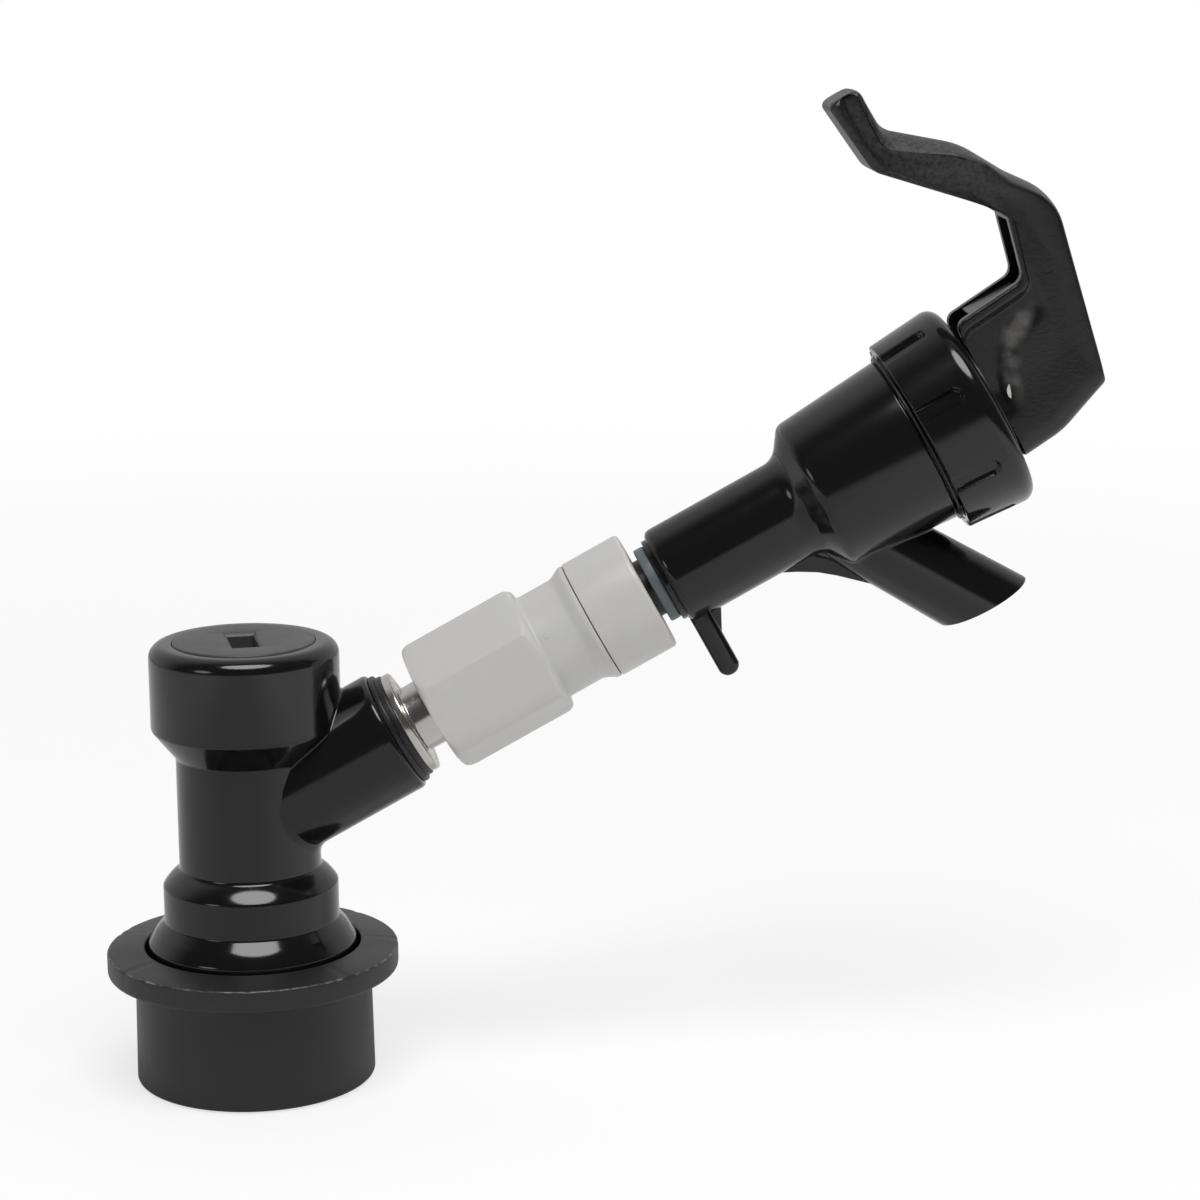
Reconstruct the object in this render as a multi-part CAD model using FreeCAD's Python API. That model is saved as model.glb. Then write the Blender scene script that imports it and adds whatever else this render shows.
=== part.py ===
import FreeCAD, Part
import math
import os
from FreeCAD import Placement, Rotation, Vector

# Picnic beer tap on a ball-lock keg disconnect, joined by a push-in fitting.
# Millimetres. The origin is the mouth of the keg post bore, +Z is up the post.
# The outlet arm, the fitting and the tap share one straight line that leaves
# the disconnect towards +X and rises at the slant angle. Pieces on that line
# are drawn in a line frame of their own: z runs out along the line, x points
# down across it and y is level. Heights and stations are absolute in each frame.

os.makedirs("parts", exist_ok=True)

# Clearances
running_gap = 0.05
loose_gap = 0.15
seat_gap = 0.05

# Drawing of the springs: sections in a turn and flats round the wire
spring_steps = 16
spring_flats = 8

# The line of the arm, the fitting and the tap
slant = 28.5
line_height = 38.9

# Disconnect body, heights above the mouth of the bore
head_radius = 13.45
head_top = 64.0
head_bottom = 51.8
head_edge_round = 2.0
neck_radius = 10.1
neck_top = 47.6
neck_bottom = 31.2
bulb_radius = 12.5
bulb_bottom = 23.6
flare_radius = 14.9
flare_height = 19.8
bell_wall = 1.0
bell_end = 14.8
bell_ceiling = 19.0
skirt_radius = 11.6
mouth_radius = 9.2
mouth_end = 4.0
post_bore_radius = 9.0
post_bore_end = 11.5
seal_bore_radius = 7.3
seal_bore_end = 19.0
throat_radius = 4.2
throat_end = 24.0
chamber_radius = 7.2
chamber_top = 51.0
arm_radius = 9.0
arm_end = 24.2
arm_end_round = 0.7
arm_passage_radius = 4.4

# Plug in the top of the disconnect
plug_radius = 10.1
plug_recess = 0.2
plug_edge_round = 0.3
slot_length = 9.0
slot_width = 3.8
slot_depth = 3.6
slot_chamfer = 0.6
slot_turn = 8.0
plug_ring_rise = 2.0
plug_ring_wire = 0.9
guide_boss_radius = 4.0
guide_boss_end = 46.0
guide_bore_end = 57.0

# Poppet under the plug
poppet_nose_radius = 2.2
poppet_nose_tip = 15.4
poppet_head_radius = 6.2
poppet_head_thickness = 2.3
poppet_seal_radius = 5.6
poppet_seal_thickness = 0.85
poppet_stem_radius = 2.4
poppet_stem_top = 50.0
poppet_spring_wire = 0.45
poppet_spring_turns = 7

# Seal that grips the keg post
post_seal_height = 14.6
post_seal_wire = 1.1

# Lock balls and the ring that keeps the collar on
ball_count = 3
ball_radius = 1.98
ball_height = 6.2
ball_reach = 7.75
ball_shift = 1.3
ring_top = 2.9
ring_thickness = 0.9
ring_groove_depth = 0.6
ring_radius = 13.2

# Release collar
collar_radius = 16.9
collar_hole_radius = 15.45
collar_land_top = 9.5
collar_flange_radius = 20.85
collar_flange_bottom = 15.8
collar_flange_edge = 18.6
collar_flange_top = 19.3
collar_edge_round = 0.8
collar_recess_radius = 13.7
collar_step = 3.0
collar_lift = 4.5
collar_spring_wire = 0.6
collar_spring_turns = 4

# Stepped sealing ring and steel flare insert at the end of the arm
socket_start = 16.5
socket_radius = 6.85
ring_step_radius = 8.4
ring_step_length = 0.8
gasket_radius = 7.85
gasket_length = 0.9
insert_bore_radius = 3.2
insert_flange_radius = 7.65
insert_flange_length = 1.2
insert_neck_radius = 4.9
insert_groove_radius = 6.4
insert_groove_depth = 0.15
insert_flat_depth = 0.35
thread_radius = 5.5
thread_start = 30.9
flare_start = 40.6
flare_length = 1.8
washer_room = 0.85

# Fitting body with its hexagon
hexagon_start = 30.3
hexagon_end = 48.0
hexagon_flats = 17.8
hexagon_edge_round = 1.1
fitting_passage_radius = 3.0
tube_stop = 46.7
fitting_neck_radius = 7.95
fitting_flare_start = 53.8
fitting_flare_end = 55.5
cap_radius = 8.97
seam = 56.2
seam_width = 0.15
seal_chamber_radius = 5.1
seal_chamber_start = 51.0

# Tube seals, grip ring, cap and collet
tube_radius = 3.175
tube_bore_radius = 2.2
tube_gap = 0.07
tube_seal_wire = 0.9
tube_spacer_length = 0.9
cap_end = 65.1
cap_edge_round = 0.5
cap_floor = 57.5
grip_ring_thickness = 0.4
finger_chamber_radius = 5.7
finger_chamber_end = 62.4
collet_radius = 4.35
collet_start = 59.0
collet_end = 67.4
finger_head_radius = 5.3
finger_head_length = 1.3
finger_slots = 4
finger_slot_width = 0.9
finger_slot_end = 63.0
collet_ring_radius = 5.7
collet_ring_start = 66.0
collet_ring_end = 67.6

# Tap body
tap_start = 68.3
tap_start_round = 1.2
tap_neck_radius = 7.32
shoulder_start = 89.6
shoulder_end = 92.4
shoulder_hollow_round = 3.0
shoulder_crown_round = 1.8
barrel_start_radius = 11.25
barrel_end_radius = 12.5
barrel_end = 108.6
spigot_radius = 13.2
spigot_start = 109.4
spigot_end = 113.2
groove_radius = 11.9
tap_chamber_radius = 9.3
tap_chamber_start = 95.5
valve_seat_radius = 4.6
valve_seat_top = 96.5
valve_seat_bore = 3.2
stem_tube_end = 84.0

# Spout, set at an angle to the line
spout_station = 90.6
spout_angle = 58.7
spout_top_radius = 5.3
spout_end_radius = 6.05
spout_length = 36.0
spout_bore_radius = 4.6
spout_drop = 25.7
spout_start = 2.0
spout_bore_start = 8.0

# Web between neck and spout, and the tongue under the neck
web_thickness = 2.0
web_start = 82.4
web_waist = 87.6
web_waist_across = 9.7
web_hollow_round = 20.0
web_end = 93.8
web_foot_across = 15.6
tongue_start = 68.4
tongue_thickness = 3.1
tongue_drop = 16.4
tongue_width = 6.0
gusset_thickness = 1.6
gusset_length = 1.8
gusset_drop = 10.6

# Valve stem, seat seal, cup diaphragm and spring
stem_radius = 2.6
stem_head = 2.4
seat_seal_radius = 5.2
seat_seal_thickness = 1.6
stem_shoulder_radius = 4.6
cup_floor = 106.9
cup_wall = 0.8
cup_outer_radius = 8.9
cup_rim_radius = 13.0
cup_rim_thickness = 0.8
spring_seat_radius = 6.6
spring_seat_thickness = 0.8
valve_spring_radius = 5.4
valve_spring_wire = 0.5
valve_spring_turns = 5

# Bonnet
bonnet_start = 109.3
bonnet_start_radius = 14.55
bonnet_end_radius = 15.4
bonnet_top = 119.9
bonnet_rim_round = 1.4
bonnet_roof = 1.5
bonnet_spring_radius = 8.1
bonnet_boss_radius = 9.6
bonnet_boss_rise = 0.3
flute_count = 8
flute_width = 2.3
flute_depth = 0.7
flute_length = 6.9
clamp_ring_radius = 13.0
washer_radius = 9.4
washer_bore = 3.4
thrust_washer_thickness = 0.35

# Lever: places across the line, the handle's side being negative, and heights above its base
lever_gap = 0.2
lever_width = 10.0
lever_tip_width = 6.0
lever_taper_across = -26.0
lever_wall = 1.7
lever_heel_across = 9.6
lever_swell_across = 9.4
lever_swell_height = 6.7
lever_swell_round = 12.0
lever_back_across = 6.7
lever_back_height = 15.9
lever_knuckle_across = -24.8
lever_knuckle_height = 21.7
lever_knuckle_round = 19.0
paddle_root_across = -41.2
paddle_root_height = 3.95
paddle_root_round = 2.5
tip_root_across = -45.6
tip_root_height = 3.9
tip_top_across = -48.1
tip_top_height = 2.6
tip_foot_across = -47.3
tip_foot_height = -1.35
tip_round = 1.1
paddle_bend_across = -36.9
paddle_bend_height = -0.1
paddle_bend_round = 3.5
lever_crook_across = -22.9
lever_crook_height = 13.9
lever_crook_round = 1.0
lever_front_across = -12.9
lever_front_lean = 0.8
lever_front_height = 11.3
lever_front_round = 1.7
lever_end_round = 0.5
channel_roof_height = 18.0
channel_roof_across = -17.0
channel_roof_round = 3.0
rib_thickness = 0.9
rib_height = 8.0
rib_rise = 2.6
pin_rise = 3.45
pin_radius = 1.5
pin_skin = 0.5


def arc_corner(before, here, after, radius):
    """Start, middle and end of the arc that rounds one corner."""
    back = (before - here).normalize()
    on = (after - here).normalize()
    half = math.acos(max(-1.0, min(1.0, back.dot(on)))) / 2
    reach = radius / math.tan(half)
    inward = (back + on).normalize()
    centre = here + inward * (radius / math.sin(half))
    return here + back * reach, centre - inward * radius, here + on * reach


def outline(corners):
    """Face in the XZ plane from corners (x, z) or (x, z, rounding radius)."""
    points = [Vector(corner[0], 0, corner[1]) for corner in corners]
    stops = []
    for index, corner in enumerate(corners):
        here = points[index]
        if len(corner) == 3:
            after = points[(index + 1) % len(points)]
            stops.append(arc_corner(points[index - 1], here, after, corner[2]))
        else:
            stops.append((here, here, here))
    edges = []
    for index, (start, middle, end) in enumerate(stops):
        if (end - start).Length > 1e-6:
            edges.append(Part.Arc(start, middle, end).toShape())
        following = stops[(index + 1) % len(stops)][0]
        if (following - end).Length > 1e-6:
            edges.append(Part.makeLine(end, following))
    return Part.Face(Part.Wire(edges))


def turned(corners):
    """Solid turned about the z axis from an outline of (radius, z) corners."""
    return outline(corners).revolve(Vector(0, 0, 0), Vector(0, 0, 1), 360)


def rod(radius, start, end):
    """Cylinder on the z axis between two stations."""
    return Part.makeCylinder(radius, end - start, Vector(0, 0, start))


def tube(outer, inner, start, end):
    """Ring or sleeve on the z axis with a rectangular section."""
    return turned([(inner, start), (outer, start), (outer, end), (inner, end)])


def seal_ring(inner_radius, wire, station):
    """Round-section ring whose inside just clears the given radius."""
    return Part.makeTorus(inner_radius + wire, wire, Vector(0, 0, station))


def coil_spring(mean_radius, wire, start, end, turns):
    """Compression spring on the z axis between two seats, its round wire drawn with flats."""
    steps = turns * spring_steps
    rise = end - start - 2 * wire
    sections = []
    for step in range(steps + 1):
        bearing = 2 * math.pi * step / spring_steps
        height = start + wire + rise * step / steps
        corners = []
        for side in range(spring_flats + 1):
            around = 2 * math.pi * side / spring_flats
            reach = mean_radius + wire * math.cos(around)
            corners.append(Vector(
                reach * math.cos(bearing), reach * math.sin(bearing), height + wire * math.sin(around)
            ))
        sections.append(Part.makePolygon(corners))
    return Part.makeLoft(sections, True, True)


def prism(corners, width):
    """Outline drawn in x and z, as thick as width and centred on y = 0."""
    face = outline(corners)
    face.translate(Vector(0, -width / 2, 0))
    return face.extrude(Vector(0, width, 0))


def in_line(shape):
    """Move a piece from the line frame to the object's frame."""
    moved = shape.copy()
    moved.Placement = Placement(
        Vector(0, 0, line_height), Rotation(Vector(0, 1, 0), 90 - slant)
    ).multiply(moved.Placement)
    return moved


def save(node, shape):
    """Write one node's solid."""
    if len(shape.Solids) == 1:
        shape = shape.Solids[0]
    shape.exportStep("parts/" + node + ".step")


# Sizes that follow from the driving ones
ball_centre = ball_reach + ball_radius
plug_bore_radius = plug_radius + running_gap
shoulder_cone = bulb_radius - neck_radius
plug_ring_height = chamber_top + plug_ring_rise
gasket_start = arm_end + ring_step_length
insert_flange_start = gasket_start + gasket_length
insert_neck_start = insert_flange_start + insert_flange_length
poppet_head_bottom = throat_end + seat_gap + poppet_seal_thickness
poppet_head_top = poppet_head_bottom + poppet_head_thickness
tube_socket_radius = tube_radius + tube_gap
shoulder_stop = cup_floor - cup_wall - seat_gap
spring_seat_top = cup_floor + seat_gap + spring_seat_thickness
flare_end = flare_start + flare_length
flare_cone_start = flare_start + washer_room
bonnet_ceiling = bonnet_top - bonnet_roof
bonnet_boss_top = bonnet_top + bonnet_boss_rise
flute_end = bonnet_start + flute_length
washer_top = bonnet_boss_top + thrust_washer_thickness
lever_base = washer_top + lever_gap
pin_station = lever_base + pin_rise
stem_top = pin_station + stem_head


def disconnect_body():
    """Bell-shaped shell with its arm, bored for post, poppet, plug and insert."""
    shell = turned([
        (0, head_top),
        (head_radius, head_top, head_edge_round),
        (head_radius, head_bottom, 1.0),
        (neck_radius, neck_top, 0.6),
        (neck_radius, neck_bottom, 0.5),
        (bulb_radius, neck_bottom - shoulder_cone, 0.8),
        (bulb_radius, bulb_bottom, 2.5),
        (flare_radius, flare_height, 1.2),
        (flare_radius, bell_end, 0.3),
        (flare_radius - bell_wall, bell_end, 0.3),
        (flare_radius - bell_wall, bell_ceiling),
        (skirt_radius, bell_ceiling),
        (skirt_radius, ring_top),
        (skirt_radius - ring_groove_depth, ring_top),
        (skirt_radius - ring_groove_depth, ring_top - ring_thickness),
        (skirt_radius, ring_top - ring_thickness),
        (skirt_radius, 0, 0.3),
        (0, 0),
    ])
    arm = in_line(turned([
        (0, 0),
        (arm_radius, 0),
        (arm_radius, arm_end, arm_end_round),
        (0, arm_end),
    ]))
    body = shell.fuse(arm)
    hollows = [
        rod(mouth_radius, 0, mouth_end),
        rod(post_bore_radius, 0, post_bore_end),
        rod(seal_bore_radius, 0, seal_bore_end),
        rod(throat_radius, 0, throat_end),
        rod(chamber_radius, throat_end, chamber_top),
        rod(plug_bore_radius, chamber_top, head_top),
        Part.makeTorus(seal_bore_radius, post_seal_wire + seat_gap, Vector(0, 0, post_seal_height)),
        in_line(rod(arm_passage_radius, 0, arm_end)),
        in_line(rod(socket_radius, socket_start, arm_end)),
    ]
    pocket_radius = ball_radius + running_gap
    for turn in ball_turns():
        pocket = Part.makeSphere(pocket_radius, Vector(ball_centre, 0, ball_height))
        run = Part.makeCylinder(
            pocket_radius, bulb_radius - ball_centre, Vector(ball_centre, 0, ball_height), Vector(1, 0, 0)
        )
        hole = pocket.fuse(run)
        hole.rotate(Vector(0, 0, 0), Vector(0, 0, 1), turn)
        hollows.append(hole)
    for hollow in hollows:
        body = body.cut(hollow)
    return body


def ball_turns():
    """Bearings of the lock balls, evenly spaced, the first one away from the arm."""
    return [180 + index * 360 / ball_count for index in range(ball_count)]


def lock_ball(turn):
    """One steel ball in its pocket, in the locked place."""
    ball = Part.makeSphere(ball_radius, Vector(ball_centre, 0, ball_height))
    ball.rotate(Vector(0, 0, 0), Vector(0, 0, 1), turn)
    return ball


def top_plug():
    """Slotted screw plug, with a groove for its ring and a guide for the poppet."""
    face = head_top - plug_recess
    groove_bottom = plug_radius - 2 * plug_ring_wire
    half_groove = plug_ring_wire + seat_gap
    guide_radius = poppet_stem_radius + running_gap
    plug = turned([
        (0, face),
        (plug_radius, face, plug_edge_round),
        (plug_radius, plug_ring_height + half_groove),
        (groove_bottom, plug_ring_height + half_groove),
        (groove_bottom, plug_ring_height - half_groove),
        (plug_radius, plug_ring_height - half_groove),
        (plug_radius, chamber_top),
        (guide_boss_radius, chamber_top),
        (guide_boss_radius, guide_boss_end),
        (guide_radius, guide_boss_end),
        (guide_radius, guide_bore_end),
        (0, guide_bore_end),
    ])
    flare = slot_width / 2 + slot_chamfer
    slot = prism([
        (-flare, face),
        (-slot_width / 2, face - slot_chamfer),
        (-slot_width / 2, face - slot_depth),
        (slot_width / 2, face - slot_depth),
        (slot_width / 2, face - slot_chamfer),
        (flare, face),
    ], slot_length)
    slot.rotate(Vector(0, 0, 0), Vector(0, 0, 1), slot_turn)
    return plug.cut(slot)


def poppet_pin():
    """Nose, valve head and guided stem of the disconnect's poppet."""
    return turned([
        (0, poppet_nose_tip),
        (poppet_nose_radius, poppet_nose_tip, 0.6),
        (poppet_nose_radius, poppet_head_bottom),
        (poppet_head_radius, poppet_head_bottom),
        (poppet_head_radius, poppet_head_top, 0.5),
        (poppet_stem_radius, poppet_head_top),
        (poppet_stem_radius, poppet_stem_top, 0.5),
        (0, poppet_stem_top),
    ])


def release_collar():
    """Lift ring: flanged skirt, land behind the balls and a ramp that frees them."""
    ramp_slope = ball_shift / collar_lift
    ramp_reach = ball_centre + ball_radius * math.hypot(1, ramp_slope) + running_gap
    land_radius = skirt_radius + loose_gap
    ramp_start = ball_height + (ramp_reach - land_radius) / ramp_slope
    ramp_end_radius = ramp_reach + (ball_height - collar_step) * ramp_slope
    return turned([
        (collar_radius, 0, 0.5),
        (collar_radius, collar_flange_bottom, 0.5),
        (collar_flange_radius, collar_flange_bottom, 0.7),
        (collar_flange_radius, collar_flange_edge, collar_edge_round),
        (collar_hole_radius + 1.0, collar_flange_top, 0.6),
        (collar_hole_radius, collar_flange_top - 0.4),
        (collar_hole_radius, collar_land_top),
        (land_radius, collar_land_top),
        (land_radius, ramp_start),
        (ramp_end_radius, collar_step),
        (collar_recess_radius, collar_step),
        (collar_recess_radius, 0, 0.3),
    ])


def sealing_ring():
    """Stepped black ring between the arm and the steel flange."""
    bore = socket_radius
    return turned([
        (bore, arm_end),
        (ring_step_radius, arm_end),
        (ring_step_radius, gasket_start, 0.2),
        (gasket_radius, gasket_start),
        (gasket_radius, insert_flange_start, 0.2),
        (bore, insert_flange_start),
    ])


def outlet_insert():
    """Steel flare insert: sleeve in the arm, flange, neck with a flat, thread and cone."""
    sleeve = socket_radius - running_gap
    insert = turned([
        (insert_bore_radius, socket_start + loose_gap),
        (sleeve, socket_start + loose_gap),
        (sleeve, insert_flange_start),
        (insert_flange_radius, insert_flange_start, 0.15),
        (insert_flange_radius, insert_neck_start, 0.25),
        (insert_groove_radius + insert_groove_depth, insert_neck_start),
        (insert_groove_radius, insert_neck_start - insert_groove_depth),
        (insert_groove_radius - insert_groove_depth, insert_neck_start),
        (insert_neck_radius, insert_neck_start),
        (insert_neck_radius, thread_start - 0.4),
        (thread_radius, thread_start),
        (thread_radius, flare_start),
        (thread_radius - (flare_end - flare_start), flare_end),
        (insert_bore_radius, flare_end),
    ])
    flat = Part.makeBox(
        insert_neck_radius, 4 * insert_neck_radius, hexagon_start - insert_neck_start,
        Vector(-2 * insert_neck_radius + insert_flat_depth, -2 * insert_neck_radius, insert_neck_start)
    )
    return insert.cut(flat)


def flare_washer():
    """Thin cone between the insert's flare and the seat in the fitting."""
    inner_sum = thread_radius + flare_start + seat_gap
    outer_sum = flare_cone_start + thread_radius + 2 * running_gap - seat_gap
    wide = thread_radius - loose_gap
    narrow = insert_bore_radius + 0.4
    return turned([
        (narrow, inner_sum - narrow),
        (wide, inner_sum - wide),
        (wide, outer_sum - wide),
        (narrow, outer_sum - narrow),
    ])


def fitting_body():
    """Hexagon, neck and flared shoulder, bored for thread, tube and seals."""
    side = hexagon_flats / math.sqrt(3)
    points = [
        Vector(side * math.cos(math.radians(angle)), side * math.sin(math.radians(angle)), hexagon_start)
        for angle in range(0, 361, 60)
    ]
    hexagon = Part.Face(Part.makePolygon(points)).extrude(Vector(0, 0, hexagon_end - hexagon_start))
    rounding = turned([
        (0, hexagon_start),
        (side, hexagon_start, hexagon_edge_round),
        (side, hexagon_end, hexagon_edge_round),
        (0, hexagon_end),
    ])
    neck = turned([
        (0, hexagon_end - 1),
        (fitting_neck_radius, hexagon_end - 1),
        (fitting_neck_radius, fitting_flare_start, 1.5),
        (cap_radius - 0.1, fitting_flare_end, 0.6),
        (cap_radius - 0.1, seam - seam_width / 2),
        (0, seam - seam_width / 2),
    ])
    bore = thread_radius + 2 * running_gap
    cone_drop = bore - fitting_passage_radius
    hollow = turned([
        (0, hexagon_start),
        (bore, hexagon_start),
        (bore, flare_cone_start),
        (fitting_passage_radius, flare_cone_start + cone_drop),
        (fitting_passage_radius, tube_stop),
        (tube_socket_radius, tube_stop),
        (tube_socket_radius, seal_chamber_start),
        (seal_chamber_radius, seal_chamber_start),
        (seal_chamber_radius, seam),
        (0, seam),
    ])
    return hexagon.common(rounding).fuse(neck).cut(hollow)


def fitting_cap():
    """Round cap that keeps the seals in and holds the collet."""
    front_bore = collet_radius + running_gap
    return turned([
        (tube_socket_radius + loose_gap, seam + seam_width / 2),
        (cap_radius, seam + seam_width / 2),
        (cap_radius, cap_end, cap_edge_round),
        (front_bore, cap_end, 0.2),
        (front_bore, finger_chamber_end),
        (finger_chamber_radius, finger_chamber_end - 0.9),
        (finger_chamber_radius, cap_floor),
        (tube_socket_radius + loose_gap, cap_floor),
    ])


def collet():
    """Black sleeve with sprung fingers that grips the tube."""
    inner = tube_socket_radius + running_gap
    head_end = collet_start + finger_head_length
    sleeve = turned([
        (inner, collet_start),
        (finger_head_radius, collet_start, 0.3),
        (finger_head_radius, head_end),
        (collet_radius, head_end + 0.7),
        (collet_radius, collet_end),
        (inner, collet_end),
    ])
    for index in range(finger_slots):
        slot = Part.makeBox(
            finger_head_radius + 1, finger_slot_width, finger_slot_end - collet_start + 1,
            Vector(0, -finger_slot_width / 2, collet_start - 1)
        )
        slot.rotate(Vector(0, 0, 0), Vector(0, 0, 1), 45 + index * 360 / finger_slots)
        sleeve = sleeve.cut(slot)
    return sleeve


def collet_ring():
    """Blue-grey ring on the mouth of the collet, pushed in to free the tube."""
    inner = tube_socket_radius + running_gap
    return turned([
        (collet_radius, collet_ring_start),
        (collet_ring_radius, collet_ring_start, 0.25),
        (collet_ring_radius, collet_ring_end, 0.35),
        (inner, collet_ring_end),
        (inner, collet_end),
        (collet_radius, collet_end),
    ])


def along_spout(shape):
    """Lean a piece drawn on the z axis over to the spout's axis."""
    shape.rotate(Vector(0, 0, 0), Vector(0, 1, 0), spout_angle)
    shape.translate(Vector(0, 0, spout_station))
    return shape


def spout():
    """Tapered spout, cut level with the line at the drop."""
    taper = along_spout(turned([
        (0, spout_start),
        (spout_top_radius, spout_start),
        (spout_end_radius, spout_length),
        (0, spout_length),
    ]))
    reach = 2 * spout_length
    beyond = Part.makeBox(reach, reach, reach, Vector(spout_drop, -reach / 2, spout_station - reach / 2))
    return taper.cut(beyond)


def tap_body():
    """Neck, barrel, spout, web and tongue in one moulding, with the valve chamber."""
    shell = turned([
        (0, tap_start),
        (tap_neck_radius, tap_start, tap_start_round),
        (tap_neck_radius, shoulder_start, shoulder_hollow_round),
        (barrel_start_radius, shoulder_end, shoulder_crown_round),
        (barrel_end_radius, barrel_end, 0.3),
        (groove_radius, barrel_end),
        (groove_radius, spigot_start),
        (spigot_radius, spigot_start),
        (spigot_radius, spigot_end),
        (0, spigot_end),
    ])
    web = prism([
        (0, web_start),
        (tap_neck_radius - 0.3, web_start),
        (web_waist_across, web_waist, web_hollow_round),
        (web_foot_across, web_end),
        (0, web_end),
    ], web_thickness)
    half = tongue_thickness / 2
    tongue = prism([
        (0, tongue_start),
        (tongue_drop, tongue_start, half * 0.96),
        (tongue_drop, tongue_start + tongue_thickness, half * 0.96),
        (0, tongue_start + tongue_thickness),
    ], tongue_width)
    gusset_foot = tongue_start + tongue_thickness
    gusset = prism([
        (0, gusset_foot - half),
        (gusset_drop, gusset_foot - half),
        (gusset_drop, gusset_foot),
        (tap_neck_radius - 0.3, gusset_foot + gusset_length),
        (0, gusset_foot + gusset_length),
    ], gusset_thickness)
    outside = shell.fuse([spout(), web, tongue, gusset])
    stem_bore = tube_radius + running_gap
    hollow = turned([
        (0, tap_start - 1),
        (stem_bore, tap_start - 1),
        (stem_bore, stem_tube_end),
        (valve_seat_bore, stem_tube_end),
        (valve_seat_bore, valve_seat_top),
        (valve_seat_radius, valve_seat_top),
        (valve_seat_radius + (valve_seat_top - tap_chamber_start), tap_chamber_start),
        (tap_chamber_radius, tap_chamber_start),
        (tap_chamber_radius, spigot_end),
        (0, spigot_end),
    ])
    bore = along_spout(rod(spout_bore_radius, spout_bore_start, spout_length + 1))
    return outside.cut(hollow).cut(bore)


def inlet_stem():
    """Quarter-inch tube that joins the tap to the fitting."""
    return turned([
        (tube_bore_radius, tube_stop + loose_gap),
        (tube_radius, tube_stop + loose_gap, 0.3),
        (tube_radius, stem_tube_end - seat_gap),
        (tube_bore_radius, stem_tube_end - seat_gap),
    ])


def valve_stem():
    """Stem that carries the seat seal at one end and the lever at the other."""
    neck = 1.6
    seal_top = valve_seat_top + seat_gap + seat_seal_thickness
    head = turned([
        (0, seal_top - 1.0),
        (neck, seal_top - 1.0),
        (neck, seal_top),
        (stem_shoulder_radius, seal_top),
        (stem_shoulder_radius, seal_top + 1.2, 0.3),
        (stem_radius, seal_top + 2.4),
        (stem_radius, shoulder_stop - 2.6),
        (stem_shoulder_radius, shoulder_stop - 1.2),
        (stem_shoulder_radius, shoulder_stop),
        (stem_radius, shoulder_stop),
        (stem_radius, stem_top, 0.6),
        (0, stem_top),
    ])
    eye = Part.makeCylinder(
        pin_radius + running_gap, 4 * stem_radius, Vector(0, -2 * stem_radius, pin_station), Vector(0, 1, 0)
    )
    return head.cut(eye)


def seat_seal():
    """Rubber disc that closes the valve seat."""
    bottom = valve_seat_top + seat_gap
    seal = turned([
        (0, bottom),
        (seat_seal_radius, bottom, 0.3),
        (seat_seal_radius, bottom + seat_seal_thickness),
        (0, bottom + seat_seal_thickness),
    ])
    return seal.cut(rod(1.6, bottom + seat_seal_thickness - 1.0, bottom + seat_seal_thickness))


def diaphragm():
    """Rubber cup that seals the stem, its rim held under the bonnet."""
    inner = cup_outer_radius - cup_wall
    floor = cup_floor - cup_wall
    return turned([
        (stem_radius, floor),
        (cup_outer_radius, floor, 0.7),
        (cup_outer_radius, spigot_end),
        (cup_rim_radius, spigot_end),
        (cup_rim_radius, spigot_end + cup_rim_thickness),
        (inner, spigot_end + cup_rim_thickness),
        (inner, cup_floor),
        (stem_radius, cup_floor),
    ])


def bonnet():
    """Fluted screw cap over the spring, with a round rim and a low boss."""
    spigot_bore = spigot_radius + running_gap
    rim_seat = spigot_end + cup_rim_thickness
    cap = turned([
        (spigot_bore, bonnet_start),
        (bonnet_start_radius, bonnet_start, 0.3),
        (bonnet_end_radius, bonnet_top, bonnet_rim_round),
        (bonnet_boss_radius, bonnet_top),
        (bonnet_boss_radius, bonnet_boss_top, 0.15),
        (washer_bore, bonnet_boss_top),
        (washer_bore, bonnet_ceiling),
        (bonnet_spring_radius, bonnet_ceiling),
        (bonnet_spring_radius, rim_seat),
        (spigot_bore, rim_seat),
    ])
    half = flute_width / 2
    lead = Part.makeBox(
        2 * flute_depth, flute_width, flute_end - bonnet_start,
        Vector(bonnet_start_radius - flute_depth, -half, bonnet_start - half)
    )
    end = Part.makeCylinder(
        half, 2 * flute_depth, Vector(bonnet_start_radius - flute_depth, 0, flute_end - half), Vector(1, 0, 0)
    )
    flute = lead.fuse(end)
    lean = math.degrees(math.atan2(bonnet_end_radius - bonnet_start_radius, bonnet_top - bonnet_start))
    flute.rotate(Vector(bonnet_start_radius, 0, bonnet_start), Vector(0, 1, 0), lean)
    for index in range(flute_count):
        cutter = flute.copy()
        cutter.rotate(Vector(0, 0, 0), Vector(0, 0, 1), (index + 0.5) * 360 / flute_count)
        cap = cap.cut(cutter)
    return cap


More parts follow.
